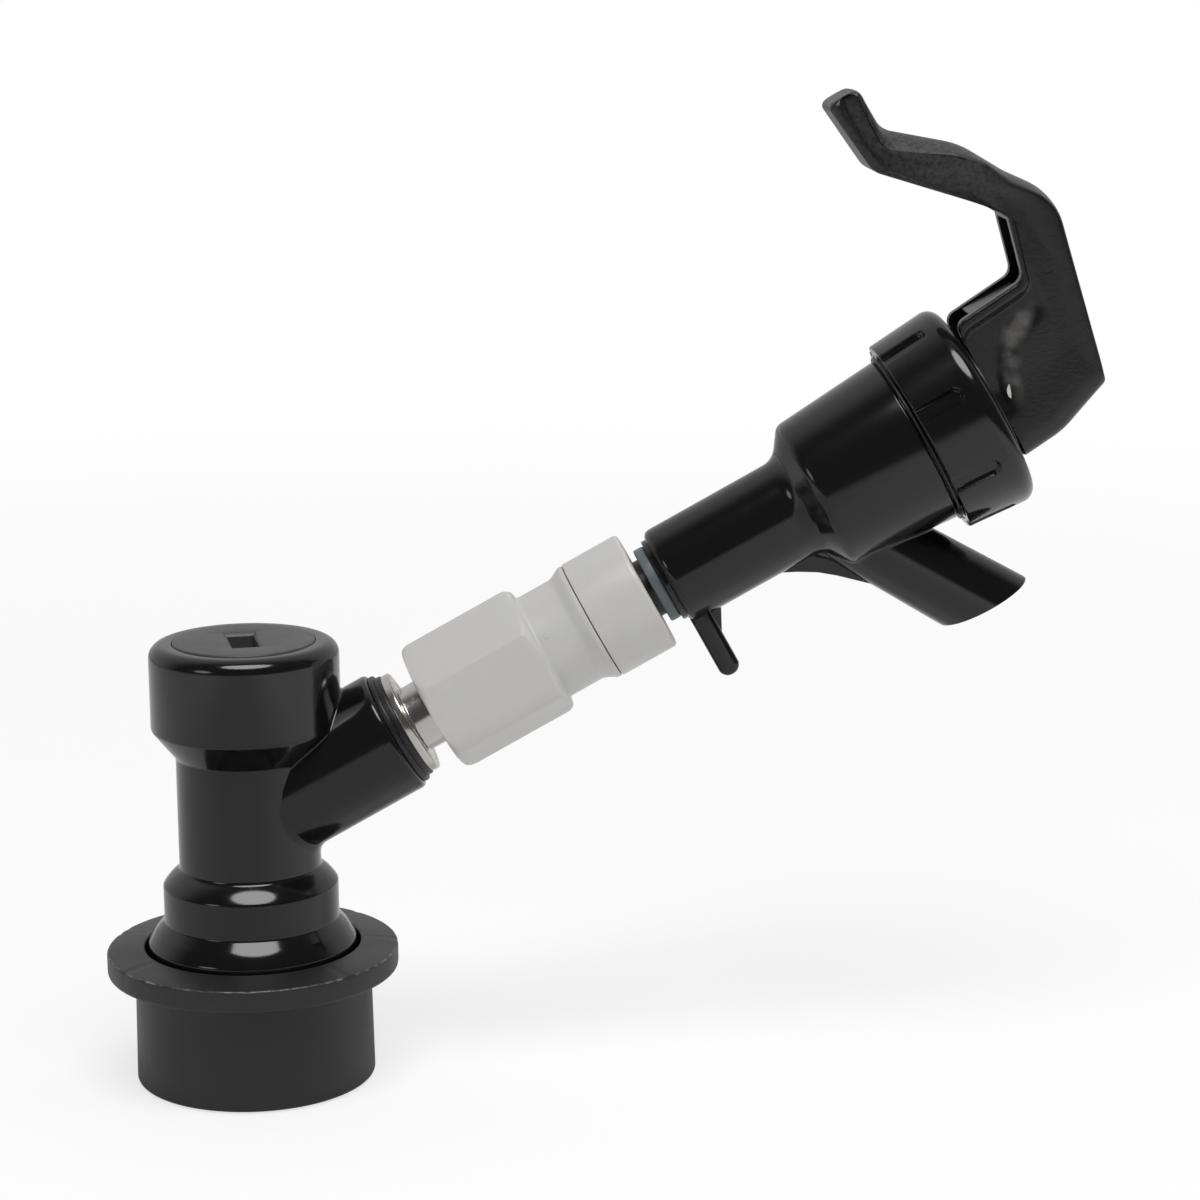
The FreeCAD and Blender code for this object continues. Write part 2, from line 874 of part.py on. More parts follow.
def lever():
    """Hooked thumb lever: channel-backed block, bent handle and paddle with a narrower tip."""
    side = prism([
        (lever_front_across, lever_base, lever_front_round),
        (lever_front_across - lever_front_lean, lever_base + lever_front_height, lever_front_round),
        (lever_crook_across, lever_base + lever_crook_height, lever_crook_round),
        (paddle_bend_across, lever_base + paddle_bend_height, paddle_bend_round),
        (tip_foot_across, lever_base + tip_foot_height, tip_round),
        (tip_top_across, lever_base + tip_top_height, tip_round),
        (tip_root_across, lever_base + tip_root_height, tip_round),
        (paddle_root_across, lever_base + paddle_root_height, paddle_root_round),
        (lever_knuckle_across, lever_base + lever_knuckle_height, lever_knuckle_round),
        (lever_back_across, lever_base + lever_back_height, lever_end_round),
        (lever_swell_across, lever_base + lever_swell_height, lever_swell_round),
        (lever_heel_across, lever_base, lever_end_round),
    ], lever_width)
    half = lever_width / 2
    half_tip = lever_tip_width / 2
    plan = Part.Face(Part.makePolygon([
        Vector(2 * lever_heel_across, -half, 0),
        Vector(lever_taper_across, -half, 0),
        Vector(tip_top_across, -half_tip, 0),
        Vector(tip_top_across, half_tip, 0),
        Vector(lever_taper_across, half, 0),
        Vector(2 * lever_heel_across, half, 0),
        Vector(2 * lever_heel_across, -half, 0),
    ]))
    plan.translate(Vector(0, 0, lever_base - lever_width))
    body = side.common(plan.extrude(Vector(0, 0, 2 * lever_width + lever_knuckle_height)))
    channel = prism([
        (lever_heel_across - lever_wall, lever_base - 1),
        (lever_swell_across - lever_wall, lever_base + lever_swell_height),
        (lever_back_across - lever_wall, lever_base + lever_back_height - lever_wall, 1.0),
        (channel_roof_across, lever_base + channel_roof_height, channel_roof_round),
        (lever_crook_across + 0.4, lever_base + lever_crook_height - 1.4),
        (lever_crook_across + 0.4, lever_base - 1),
    ], lever_width - 2 * lever_wall)
    rib_back = lever_front_across + 0.3
    rib = prism([
        (rib_back, lever_base + rib_rise, 0.3),
        (rib_back, lever_base + rib_rise + rib_height, 0.3),
        (rib_back + rib_thickness, lever_base + rib_rise + rib_height, 0.3),
        (rib_back + rib_thickness, lever_base + rib_rise, 0.3),
    ], lever_width - lever_wall)
    bore_length = lever_width - 2 * pin_skin
    bore = Part.makeCylinder(
        pin_radius + running_gap, bore_length, Vector(0, -bore_length / 2, pin_station), Vector(0, 1, 0)
    )
    return body.cut(channel).fuse(rib).cut(bore)


def lever_pin():
    """Pin through the stem, held in blind bores in both cheeks of the lever."""
    length = lever_width - 2 * (pin_skin + running_gap)
    return Part.makeCylinder(pin_radius, length, Vector(0, -length / 2, pin_station), Vector(0, 1, 0))


# The disconnect
save("disconnect_body", disconnect_body())
save("top_plug", top_plug())
save("plug_seal_ring", seal_ring(plug_radius - 2 * plug_ring_wire, plug_ring_wire, plug_ring_height))
save("poppet_pin", poppet_pin())
save("poppet_seal", tube(poppet_seal_radius, poppet_nose_radius, throat_end + seat_gap, poppet_head_bottom))
save("poppet_spring", coil_spring(
    guide_boss_radius + 2 * poppet_spring_wire, poppet_spring_wire,
    poppet_head_top, chamber_top, poppet_spring_turns
))
save("post_seal", Part.makeTorus(seal_bore_radius, post_seal_wire, Vector(0, 0, post_seal_height)))
save("release_collar", release_collar())
save("collar_spring", coil_spring(
    (skirt_radius + flare_radius - bell_wall) / 2, collar_spring_wire,
    collar_land_top, bell_ceiling, collar_spring_turns
))
for number, bearing in enumerate(ball_turns(), start=1):
    save("lock_ball_" + str(number), lock_ball(bearing))
save("collar_retaining_ring", tube(
    ring_radius, skirt_radius - ring_groove_depth, ring_top - ring_thickness, ring_top
))

# The outlet and the push-in fitting
save("outlet_sealing_ring", in_line(sealing_ring()))
save("outlet_insert", in_line(outlet_insert()))
save("flare_washer", in_line(flare_washer()))
save("fitting_body", in_line(fitting_body()))
first_seal = seal_chamber_start + tube_seal_wire + seat_gap
save("tube_seal_inner", in_line(seal_ring(tube_socket_radius, tube_seal_wire, first_seal)))
spacer_start = first_seal + tube_seal_wire + seat_gap
save("seal_spacer", in_line(tube(
    seal_chamber_radius - running_gap, tube_socket_radius, spacer_start, spacer_start + tube_spacer_length
)))
second_seal = spacer_start + tube_spacer_length + tube_seal_wire + seat_gap
save("tube_seal_outer", in_line(seal_ring(tube_socket_radius, tube_seal_wire, second_seal)))
save("fitting_cap", in_line(fitting_cap()))
save("grip_ring", in_line(tube(
    finger_chamber_radius - running_gap, tube_socket_radius + running_gap,
    cap_floor, cap_floor + grip_ring_thickness
)))
save("collet", in_line(collet()))
save("collet_ring", in_line(collet_ring()))

# The tap
save("inlet_stem", in_line(inlet_stem()))
save("tap_body", in_line(tap_body()))
save("seat_seal", in_line(seat_seal()))
save("valve_stem", in_line(valve_stem()))
save("diaphragm", in_line(diaphragm()))
save("spring_seat_washer", in_line(tube(
    spring_seat_radius, stem_radius + running_gap, cup_floor + seat_gap, spring_seat_top
)))
save("valve_spring", in_line(coil_spring(
    valve_spring_radius, valve_spring_wire, spring_seat_top, bonnet_ceiling, valve_spring_turns
)))
save("clamp_ring", in_line(tube(clamp_ring_radius, groove_radius, barrel_end + 0.15, bonnet_start - 0.15)))
save("bonnet", in_line(bonnet()))
save("thrust_washer", in_line(tube(
    washer_radius, washer_bore, bonnet_boss_top, washer_top
)))
save("lever", in_line(lever()))
save("lever_pin", in_line(lever_pin()))
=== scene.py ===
import math

import bmesh
import bpy
import numpy as np
from bpy.props import FloatProperty, FloatVectorProperty, IntProperty, PointerProperty
from mathutils import Matrix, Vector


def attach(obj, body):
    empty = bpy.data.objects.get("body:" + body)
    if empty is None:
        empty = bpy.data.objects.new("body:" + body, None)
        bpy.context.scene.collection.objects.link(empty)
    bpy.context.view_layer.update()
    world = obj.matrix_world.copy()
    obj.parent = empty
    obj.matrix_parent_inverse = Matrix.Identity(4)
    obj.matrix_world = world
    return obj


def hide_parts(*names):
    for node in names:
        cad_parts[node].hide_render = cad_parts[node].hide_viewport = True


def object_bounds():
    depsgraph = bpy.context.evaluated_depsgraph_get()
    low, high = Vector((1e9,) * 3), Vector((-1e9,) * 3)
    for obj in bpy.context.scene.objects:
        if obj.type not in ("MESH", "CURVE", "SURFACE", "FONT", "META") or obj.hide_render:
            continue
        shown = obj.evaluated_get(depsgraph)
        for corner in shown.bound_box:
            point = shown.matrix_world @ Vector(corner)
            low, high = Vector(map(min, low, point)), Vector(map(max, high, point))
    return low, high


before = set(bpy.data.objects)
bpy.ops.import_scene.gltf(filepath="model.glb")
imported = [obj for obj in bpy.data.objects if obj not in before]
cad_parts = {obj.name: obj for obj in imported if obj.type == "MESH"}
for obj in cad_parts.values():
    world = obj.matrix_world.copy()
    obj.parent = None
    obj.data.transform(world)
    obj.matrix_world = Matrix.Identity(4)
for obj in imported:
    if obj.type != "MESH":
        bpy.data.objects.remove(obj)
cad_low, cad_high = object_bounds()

bl_info = {
    "name": "Picnic Beer Tap",
    "version": (1, 0, 0),
    "blender": (4, 5, 0),
    "location": "View3D > Sidebar > Picnic Tap",
    "description": "Builds a picnic beer tap on a ball-lock keg disconnect around its CAD frame",
    "category": "Object",
}

# Lengths below are in millimetres. Meshes are written in metres.
MM = 0.001

# The CAD frame brings a plain material for each slot under the slot's name, so the finishes have a prefix.
FINISH = "tap_"

# The disconnect stands on the object's z axis. The arm, the fitting and the tap
# share the line, which leaves the z axis at LINE_HEIGHT and rises at SLANT.
SLANT = math.radians(28.5)
LINE_HEIGHT = 38.9
LINE_ALONG = np.array([math.cos(SLANT), 0.0, math.sin(SLANT)])
LINE_ACROSS = np.array([math.sin(SLANT), 0.0, -math.cos(SLANT)])
LEVEL = np.array([0.0, 1.0, 0.0])

# Gaps between pieces that touch on the real object
THREAD_GAP = 0.05
SLIDE_GAP = 0.15

# Columns round the pieces that need more than the others
COLLAR_COLUMNS = 240
HEX_COLUMNS = 192
BONNET_COLUMNS = 512

# Disconnect body
HEAD_RADIUS = 13.45
HEAD_TOP = 64.0
HEAD_BOTTOM = 51.8
NECK_RADIUS = 10.1
NECK_TOP = 47.6
NECK_BOTTOM = 31.2
BULB_RADIUS = 12.5
BULB_BOTTOM = 23.6
FLARE_RADIUS = 14.9
FLARE_HEIGHT = 20.3
BELL_WALL = 1.0
BELL_END = 14.8
BELL_CEILING = 19.0
SKIRT_RADIUS = 11.6
RING_TOP = 2.9
RING_FOOT = 2.0
RING_GROOVE = 0.6
MOUTH_RADIUS = 9.2
MOUTH_END = 4.0
POST_BORE_RADIUS = 9.0
POST_BORE_END = 11.5
SEAL_BORE_RADIUS = 7.3
THROAT_RADIUS = 4.2
THROAT_END = 24.0
CHAMBER_RADIUS = 7.2
CHAMBER_TOP = 51.0
ARM_RADIUS = 9.0
ARM_END = 24.2
ARM_BORE = 4.4
ARM_BORE_START = 9.5
SOCKET_RADIUS = 6.85
SOCKET_START = 16.5

# Plug in the head
PLUG_RADIUS = 10.1
PLUG_TOP = 64.2
PLUG_RING_HEIGHT = 53.0
PLUG_GROOVE_HALF = 0.95
PLUG_GROOVE_DEPTH = 1.8
GUIDE_BOSS_RADIUS = 4.0
GUIDE_BOSS_END = 46.0
GUIDE_RADIUS = 2.45
GUIDE_END = 57.0
SLOT_LENGTH = 9.0
SLOT_WIDTH = 3.8
SLOT_DEPTH = 3.6
SLOT_TURN = math.radians(8.0)

# Release collar
COLLAR_RADIUS = 16.9
COLLAR_FOOT_RADIUS = 17.15
COLLAR_HOLE = 15.45
COLLAR_LAND = 9.5
FLANGE_RADIUS = 20.85
FLANGE_BOTTOM = 15.8
FLANGE_EDGE = 19.1
FLANGE_TOP = 19.8
NICK_DEPTH = 0.10
NICK_LIMIT = 1.3
RAMP_START = 8.23
RAMP_END_RADIUS = 12.73
RECESS_RADIUS = 13.7
RECESS_STEP = 3.0

# Outlet ring and steel insert
RING_STEP_RADIUS = 8.4
GASKET_RADIUS = 7.85
GASKET_START = 25.0
INSERT_FLANGE_START = 25.9
INSERT_NECK_START = 27.1
INSERT_FLANGE_RADIUS = 7.65
INSERT_NECK_RADIUS = 4.9
INSERT_FLAT = 4.55
INSERT_BORE = 3.2
FACE_GROOVE_RADIUS = 6.4
FACE_GROOVE_HALF = 0.15
FACE_GROOVE_DEPTH = 0.12
THREAD_RADIUS = 5.5
FLARE_START = 40.6
FLARE_END = 42.4

# Push-in fitting
HEX_START = 30.3
HEX_END = 48.0
HEX_FLATS = 17.8
FITTING_NECK_RADIUS = 7.95
SHOULDER_START = 53.8
SHOULDER_END = 55.5
SEAM = 56.2
SEAM_GAP = 0.075
HEX_CORNER_DEPTH = 0.21
HEX_CORNER_SPREAD = math.radians(3.2)
HEX_SOFTNESS = 0.25
GATE_STATION = 49.9
GATE_BEARING = math.radians(-112)
CAP_RADIUS = 8.97
CAP_END = 65.1
CAP_FLOOR = 57.5
CAP_BORE = 5.7
CAP_CONE_START = 61.5
CAP_CONE_END = 62.4
SEAL_CHAMBER_RADIUS = 5.1
SEAL_CHAMBER_START = 51.0
TUBE_STOP = 46.7
FITTING_BORE = 3.0
FLARE_SEAT_START = 41.45
FLARE_SEAT_END = 44.05
TUBE_SOCKET = 3.245
COLLET_RADIUS = 4.35
COLLET_END = 67.4
RING_RADIUS = 5.7
RING_START = 66.0
RING_END = 67.6

# Tap body, along the line
TAP_START = 68.3
NECK_LIP_START = 67.6
NECK_LIP_RADIUS = 6.3
TAP_NECK_RADIUS = 7.32
TAP_SHOULDER_START = 89.6
TAP_SHOULDER_END = 92.4
BARREL_START_RADIUS = 11.25
BARREL_END_RADIUS = 12.5
BARREL_END = 108.6
GROOVE_RADIUS = 11.9
SPIGOT_RADIUS = 13.2
SPIGOT_START = 109.4
SPIGOT_END = 113.2
TAP_CHAMBER_RADIUS = 9.3
TAP_CHAMBER_START = 95.5
VALVE_SEAT_TOP = 96.5
VALVE_SEAT_FOOT_RADIUS = 5.6
VALVE_SEAT_RADIUS = 4.6
VALVE_HOLE = 3.2
STEM_BORE = 3.225
STEM_TUBE_END = 84.0

# Spout, web and tongue
SPOUT_STATION = 90.6
SPOUT_ANGLE = math.radians(58.7)
SPOUT_TOP_RADIUS = 5.3
SPOUT_END_RADIUS = 6.05
SPOUT_LENGTH = 36.0
SPOUT_BORE = 4.6
SPOUT_DROP = 25.7
SPOUT_EDGE = 0.35
SPOUT_BORE_START = 11.0
TONGUE_START = 68.4
TONGUE_THICKNESS = 3.1
TONGUE_DROP = 16.4
TONGUE_WIDTH = 6.0
WEB_START = 82.4
WEB_WAIST = 87.6
WEB_WAIST_ACROSS = 9.7
WEB_END = 93.8
WEB_FOOT_ACROSS = 15.6
PLATE_ROOT = 4.0
GUSSET_ACROSS = 10.6
GUSSET_HEIGHT = 1.8

# Bonnet and what sits on it
BONNET_START = 109.3
BONNET_START_RADIUS = 14.55
BONNET_END_RADIUS = 15.4
BONNET_TOP = 119.9
BOSS_RADIUS = 9.6
BOSS_TOP = 120.2
BONNET_BORE = 3.4
SPRING_WELL_RADIUS = 8.1
BONNET_CEILING = 118.4
RIM_SEAT = 114.0
FLUTES = 8
FLUTE_END = 116.2
FLUTE_SLOPE = 0.35
PARTING_STATION = 118.2
PARTING_DEPTH = 0.04
CLAMP_RING_RADIUS = 13.0
WASHER_RADIUS = 9.4
WASHER_TOP = 120.55

# Lever
LEVER_BASE = 120.75
LEVER_HALF = 5.0
LEVER_WALL = 1.7
PADDLE_TAPER = 0.5
LIP_HEIGHT = 0.2
BOWL_DEPTH = 1.0
BLOCK_MIDDLE = (1.0, 12.0)
BASE_BEVEL = 0.4
INNER_EDGE = 0.45
INNER_EDGE_GROWTH = 0.5
OUTER_EDGE = 0.6
OUTER_EDGE_GROWTH = 1.6
LIP_WIDTH = 2.4
EDGE_SHARE = 0.45
CHANNEL_EDGE = 0.3
TIP_ROUND_START = 46.9
TIP_ROUND = 1.05

# Finishes
GRAIN_DEPTH = 0.1 * MM
LIGHT_DEPTH = 1.0 * MM
WORN_COLOUR = (0.16, 0.16, 0.155, 1.0)

# Stage, in metres
OVERHEAD_PLACE = (0.05, -0.42, 0.98)
OVERHEAD_SIZE = (0.80, 0.58)
CARD_PLACE = (-0.62, -0.52, 0.30)
CARD_SIZE = (0.30, 0.25)
SIDE_PLACE = (0.9, -0.25, 0.55)
SIDE_SIZE = (0.5, 0.7)
FLOOR_REACH = 3.0
FLOOR_GAP = 0.0002


# Settings

class TapShapeSettings(bpy.types.PropertyGroup):
    """Sizes of the visible shapes that a user would change."""

    around: IntProperty(
        name="Segments around", description="Columns of faces round each turned piece", default=144, min=24
    )
    arm_fillet: FloatProperty(
        name="Arm fillet", description="Radius of the hollow under the arm, crisp above it",
        default=2.2 * MM, unit="LENGTH"
    )
    crotch_fillet: FloatProperty(
        name="Crotch fillet", description="Radius of the hollow between spout and neck",
        default=2.6 * MM, unit="LENGTH"
    )
    valley_fillet: FloatProperty(
        name="Valley fillet", description="Radius of the crisp hollow between spout and barrel",
        default=0.35 * MM, unit="LENGTH"
    )
    flute_depth: FloatProperty(
        name="Flute depth", description="Depth of the grip flutes in the bonnet",
        default=0.7 * MM, unit="LENGTH"
    )
    flute_width: FloatProperty(
        name="Flute width", description="Width of one grip flute", default=2.3 * MM, unit="LENGTH"
    )
    paddle_crown: FloatProperty(
        name="Paddle crown", description="How far the paddle's middle rises to its ridge", default=1.0
    )


class TapFinishSettings(bpy.types.PropertyGroup):
    """Colours of the finishes."""

    black: FloatVectorProperty(
        name="Black plastic", description="Moulded black of the disconnect and the tap",
        default=(0.005, 0.005, 0.0053), subtype="COLOR", min=0, max=1
    )
    fitting: FloatVectorProperty(
        name="Fitting plastic", description="Light grey of the push-in fitting",
        default=(0.53, 0.523, 0.512), subtype="COLOR", min=0, max=1
    )
    ring: FloatVectorProperty(
        name="Collet ring", description="Blue-grey of the ring on the collet",
        default=(0.11, 0.125, 0.135), subtype="COLOR", min=0, max=1
    )
    steel: FloatVectorProperty(
        name="Steel", description="Stainless steel",
        default=(0.62, 0.60, 0.57), subtype="COLOR", min=0, max=1
    )


class TapStageSettings(bpy.types.PropertyGroup):
    """Camera and light."""

    lens: FloatProperty(
        name="Lens", description="Focal length of the camera on a 36 mm sensor",
        default=98.2, unit="CAMERA"
    )
    key_power: FloatProperty(
        name="Overhead light", description="Power of the large soft box overhead", default=8.4, unit="POWER"
    )
    side_power: FloatProperty(
        name="Side light", description="Power of the soft box on the right", default=2.0, unit="POWER"
    )
    room: FloatProperty(
        name="Backdrop", description="Brightness of the pale backdrop behind the object", default=0.6
    )
    card_power: FloatProperty(
        name="Left card", description="Power of the small card on the left", default=0.5, unit="POWER"
    )


# Geometry

def on_line(points):
    """Points (across, level, along) of the line frame in the object's frame: each times its unit vector."""
    points = np.asarray(points, dtype=float)
    moved = points[..., 0:1] * LINE_ACROSS + points[..., 1:2] * LEVEL + points[..., 2:3] * LINE_ALONG
    return moved + np.array([0.0, 0.0, LINE_HEIGHT])


def rounded(corners, step=math.radians(9)):
    """Polyline through corners (a, b) or (a, b, radius). A corner with a radius becomes the arc that touches
    both sides, a point every step of its sweep."""
    points = np.array([corner[:2] for corner in corners], dtype=float)
    out = []
    for index, corner in enumerate(corners):
        here = points[index]
        if len(corner) == 2:
            out.append(here[None])
            continue
        back = points[index - 1] - here
        ahead = points[(index + 1) % len(points)] - here
        back /= np.linalg.norm(back)
        ahead /= np.linalg.norm(ahead)
        half = math.acos(np.clip(back @ ahead, -1, 1)) / 2
        middle = (back + ahead) / np.linalg.norm(back + ahead)
        centre = here + middle * corner[2] / math.sin(half)
        start = here + back * corner[2] / math.tan(half) - centre
        sweep = math.pi - 2 * half
        side = np.sign(start[0] * -middle[1] - start[1] * -middle[0])
        angles = side * np.linspace(0, sweep, max(2, int(math.ceil(sweep / step)) + 1))
        turn_x = start[0] * np.cos(angles) - start[1] * np.sin(angles)
        turn_y = start[0] * np.sin(angles) + start[1] * np.cos(angles)
        out.append(centre + np.stack([turn_x, turn_y], axis=1))
    return np.concatenate(out)


def step_up(value, start, end):
    """0 below start, 1 above end, and a smooth step 3 s^2 - 2 s^3 between them."""
    share = np.clip((value - start) / (end - start), 0, 1)
    return share * share * (3 - 2 * share)


def chain(corners, count):
    """Open path through rounded corners, cut into count points evenly spaced along it."""
    path = rounded(corners, step=math.radians(4))
    run = np.concatenate([[0], np.cumsum(np.linalg.norm(np.diff(path, axis=0), axis=1))])
    place = np.linspace(0, run[-1], count)
    return np.column_stack([np.interp(place, run, path[:, 0]), np.interp(place, run, path[:, 1])])


def lathe(profile, around):
    """Rows of a profile (radius, station) turned about z: x = r cos t, y = r sin t, z = station."""
    turn = np.linspace(0, 2 * math.pi, around, endpoint=False)
    radius, station = profile[:, :1], profile[:, 1:]
    return np.stack([radius * np.cos(turn), radius * np.sin(turn), station + 0 * turn], axis=-1)


def drawn_in(rows, depth, drop=0.0):
    """Turned rows with each point moved by its depth towards the axis and by its drop down it."""
    scale = 1 - depth / np.hypot(rows[..., 0], rows[..., 1])
    return np.stack([rows[..., 0] * scale, rows[..., 1] * scale, rows[..., 2] - drop], axis=-1)


def grid_shell(rows, close=True):
    """Vertices and quads of a grid of rows that wraps round each row, and from the last row to the first
    where it closes."""
    count, around = rows.shape[:2]
    number = np.arange(count * around).reshape(count, around)
    right = np.roll(number, -1, axis=1)
    if close:
        below, below_right = np.roll(number, -1, axis=0), np.roll(right, -1, axis=0)
        quads = np.stack([number, right, below_right, below], axis=-1).reshape(-1, 4)
    else:
        quads = np.stack([number[:-1], right[:-1], right[1:], number[1:]], axis=-1).reshape(-1, 4)
    return rows.reshape(-1, 3), quads.tolist()


def capped_shell(rows):
    """Grid of rows open at both ends, each end filled with one flat face."""
    points, faces = grid_shell(rows, close=False)
    count, around = rows.shape[:2]
    faces.append(list(range(around))[::-1])
    faces.append(list(range((count - 1) * around, count * around)))
    return points, faces


def slab(outline, half_width, edge, wall_rows=3):
    """Closed outline (across, along) carried over the width. Row k is the outline drawn in by
    edge * (1 - sin a) at the side half_width - edge * (1 - cos a), a turning from one face to the wall, so
    both rims are quarter rounds."""
    before, after = np.roll(outline, 1, axis=0), np.roll(outline, -1, axis=0)
    along = (after - outline) / (np.linalg.norm(after - outline, axis=1, keepdims=True) + 1e-12)
    along_back = (outline - before) / (np.linalg.norm(outline - before, axis=1, keepdims=True) + 1e-12)
    tangent = along + along_back
    tangent /= np.linalg.norm(tangent, axis=1, keepdims=True)
    area = np.sum(outline[:, 0] * after[:, 1] - after[:, 0] * outline[:, 1])
    outward = np.stack([tangent[:, 1], -tangent[:, 0]], axis=1) * np.sign(area)
    turn = np.linspace(0, math.pi / 2, 5)
    rim = half_width - edge * (1 - np.cos(turn))
    wall = np.linspace(1, -1, wall_rows + 2)[1:-1] * (half_width - edge)
    place = np.concatenate([rim, wall, -rim[::-1]])[:, None]
    rim_in = edge * (1 - np.sin(turn))
    drawn = np.concatenate([rim_in, np.zeros(wall_rows), rim_in[::-1]])
    rows = outline[None] - outward[None] * drawn[:, None, None]
    return np.stack([rows[..., 0], np.broadcast_to(place, rows.shape[:2]), rows[..., 1]], axis=-1)


def profile_distance(points, profile):
    """Signed distance from points to a turned surface whose profile (radius, station) climbs along the axis:
    the shortest distance to its segments in the half plane, negative inside."""
    radius = np.hypot(points[..., 0], points[..., 1])
    flat = np.stack([radius, points[..., 2]], axis=-1)[..., None, :]
    start, end = profile[:-1], profile[1:]
    run = end - start
    share = np.clip(((flat - start) * run).sum(-1) / ((run ** 2).sum(-1) + 1e-12), 0, 1)
    near = start + share[..., None] * run
    distance = np.linalg.norm(flat - near, axis=-1).min(-1)
    inside = radius < np.interp(points[..., 2], profile[:, 1], profile[:, 0])
    return np.where(inside, -distance, distance)


def branch_root(profile, origin, direction, side, radius, fillet, start, reach, arc_rows=8):
    """Hollow where a round branch leaves a turned body. For each bearing t a ball of the fillet's radius
    touches the branch's wall and rolls in along it until it also touches the body: the branch's axis point
    is found by halving. The rows are the ball's arc from just under the body's surface to the branch's wall,
    and one more row sunk in the body. Also gives each bearing's direction away from the axis."""
    turn = np.linspace(0, 2 * math.pi, len(fillet), endpoint=False)
    third = np.cross(direction, side)
    outward = np.cos(turn)[:, None] * side + np.sin(turn)[:, None] * third
    low, high = np.full(len(turn), start), np.full(len(turn), reach)
    for _ in range(40):
        middle = (low + high) / 2
        centre = origin + middle[:, None] * direction + (radius(middle) + fillet)[:, None] * outward
        free = profile_distance(centre, profile) > fillet
        high = np.where(free, middle, high)
        low = np.where(free, low, middle)
    centre = origin + high[:, None] * direction + (radius(high) + fillet)[:, None] * outward
    small = 1e-3
    slope = np.stack([
        profile_distance(centre + small * axis, profile) - profile_distance(centre - small * axis, profile)
        for axis in np.eye(3)
    ], axis=-1)
    slope /= np.linalg.norm(slope, axis=1, keepdims=True)
    to_body, to_wall = -slope, -outward
    angle = np.arccos(np.clip((to_body * to_wall).sum(-1), -1, 1))[:, None]
    rows = [centre + fillet[:, None] * to_body - 0.5 * slope]
    for share in np.linspace(0, 1, arc_rows):
        spread = np.maximum(np.sin(angle), 1e-6)
        mix = (np.sin((1 - share) * angle) * to_body + np.sin(share * angle) * to_wall) / spread
        rows.append(centre + (fillet[:, None] + 0.03 * (1 - share) ** 4) * mix)
    return np.stack(rows), outward


def closed_mesh(name, points, faces, merge):
    """Mesh from points in millimetres and faces, its doubles merged and its normals turned outwards."""
    mesh = bpy.data.meshes.new(name)
    mesh.from_pydata(np.asarray(points) * MM, [], faces)
    shape = bmesh.new()
    shape.from_mesh(mesh)
    bmesh.ops.remove_doubles(shape, verts=shape.verts, dist=merge)
    bmesh.ops.dissolve_degenerate(shape, dist=merge, edges=shape.edges)
    bmesh.ops.recalc_face_normals(shape, faces=shape.faces)
    shape.to_mesh(mesh)
    shape.free()
    return mesh


def add_piece(name, shells, node, material, sharp=28.0):
    """Object from shells of (points in millimetres, faces). It rides the CAD node's body and stands for that
    node."""
    faces, base = [], 0
    for points, shell_faces in shells:
        faces.extend([[corner + base for corner in face] for face in shell_faces])
        base += len(points)
    mesh = closed_mesh(name, np.concatenate([points for points, _ in shells]), faces, 1e-7)
    obj = bpy.data.objects.new(name, mesh)
    bpy.context.collection.objects.link(obj)
    finish_piece(obj, node, material, sharp)
    return obj


def finish_piece(obj, node, material, sharp=28.0):
    """Smooth shading with sharp edges over the angle, the material, and the ties to the CAD frame."""
    mesh = obj.data
    mesh.shade_smooth()
    mesh.set_sharp_from_angle(angle=math.radians(sharp))
    mesh.materials.clear()
    mesh.materials.append(bpy.data.materials[FINISH + material])
    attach(obj, BODIES[node])
    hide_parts(node)


def cut_piece(obj, points, faces):
    """Takes a closed shell away from a piece, so that it stays one closed mesh."""
    mesh = closed_mesh("cutter", points, faces, 1e-6)
    cutter = bpy.data.objects.new("cutter", mesh)
    bpy.context.collection.objects.link(cutter)
    cut = obj.modifiers.new("cut", "BOOLEAN")
    cut.operation = "DIFFERENCE"
    cut.solver = "EXACT"
    cut.object = cutter
    shown = obj.evaluated_get(bpy.context.evaluated_depsgraph_get())
    result = bpy.data.meshes.new_from_object(shown)
    obj.modifiers.clear()
    whole = obj.data
    obj.data = result
    bpy.data.objects.remove(cutter)
    for old in (whole, mesh):
        bpy.data.meshes.remove(old)


def turned_piece(name, corners, node, material, line=False, around=None, shape=None):
    """Closed profile turned about the z axis or the line. shape changes the rows before they are placed."""
    rows = lathe(rounded(corners), around or bpy.context.scene.tap_shape.around)
    if shape is not None:
        rows = shape(rows)
    if line:
        rows = on_line(rows)
    return add_piece(name, [grid_shell(rows)], node, material)


# Materials

def node_adder(tree):
    """Adder of nodes to a tree. Each input of a node takes a value, or the output socket that feeds it."""
    def add(kind, inputs=None, **facts):
        node = tree.nodes.new(kind)
        for key, value in facts.items():
            setattr(node, key, value)
        for key, value in (inputs or {}).items():
            if isinstance(value, bpy.types.NodeSocket):
                tree.links.new(value, node.inputs[key])
            else:
                node.inputs[key].default_value = value
        return node
    return add


def source_of(socket):
    """The output that feeds a socket, or else the socket's own value."""
    return socket.links[0].from_socket if socket.is_linked else socket.default_value


def maths(add, operation, *values, **facts):
    """Output of a math node on those values."""
    return add("ShaderNodeMath", dict(enumerate(values)), operation=operation, **facts).outputs[0]


def length(add, vector):
    """Length of a vector."""
    return add("ShaderNodeVectorMath", {0: vector}, operation="LENGTH").outputs["Value"]


def noise(add, vector, scale, detail, roughness=0.5):
    """Noise over a vector."""
    inputs = {"Vector": vector, "Scale": scale, "Detail": detail, "Roughness": roughness}
    return add("ShaderNodeTexNoise", inputs).outputs["Fac"]


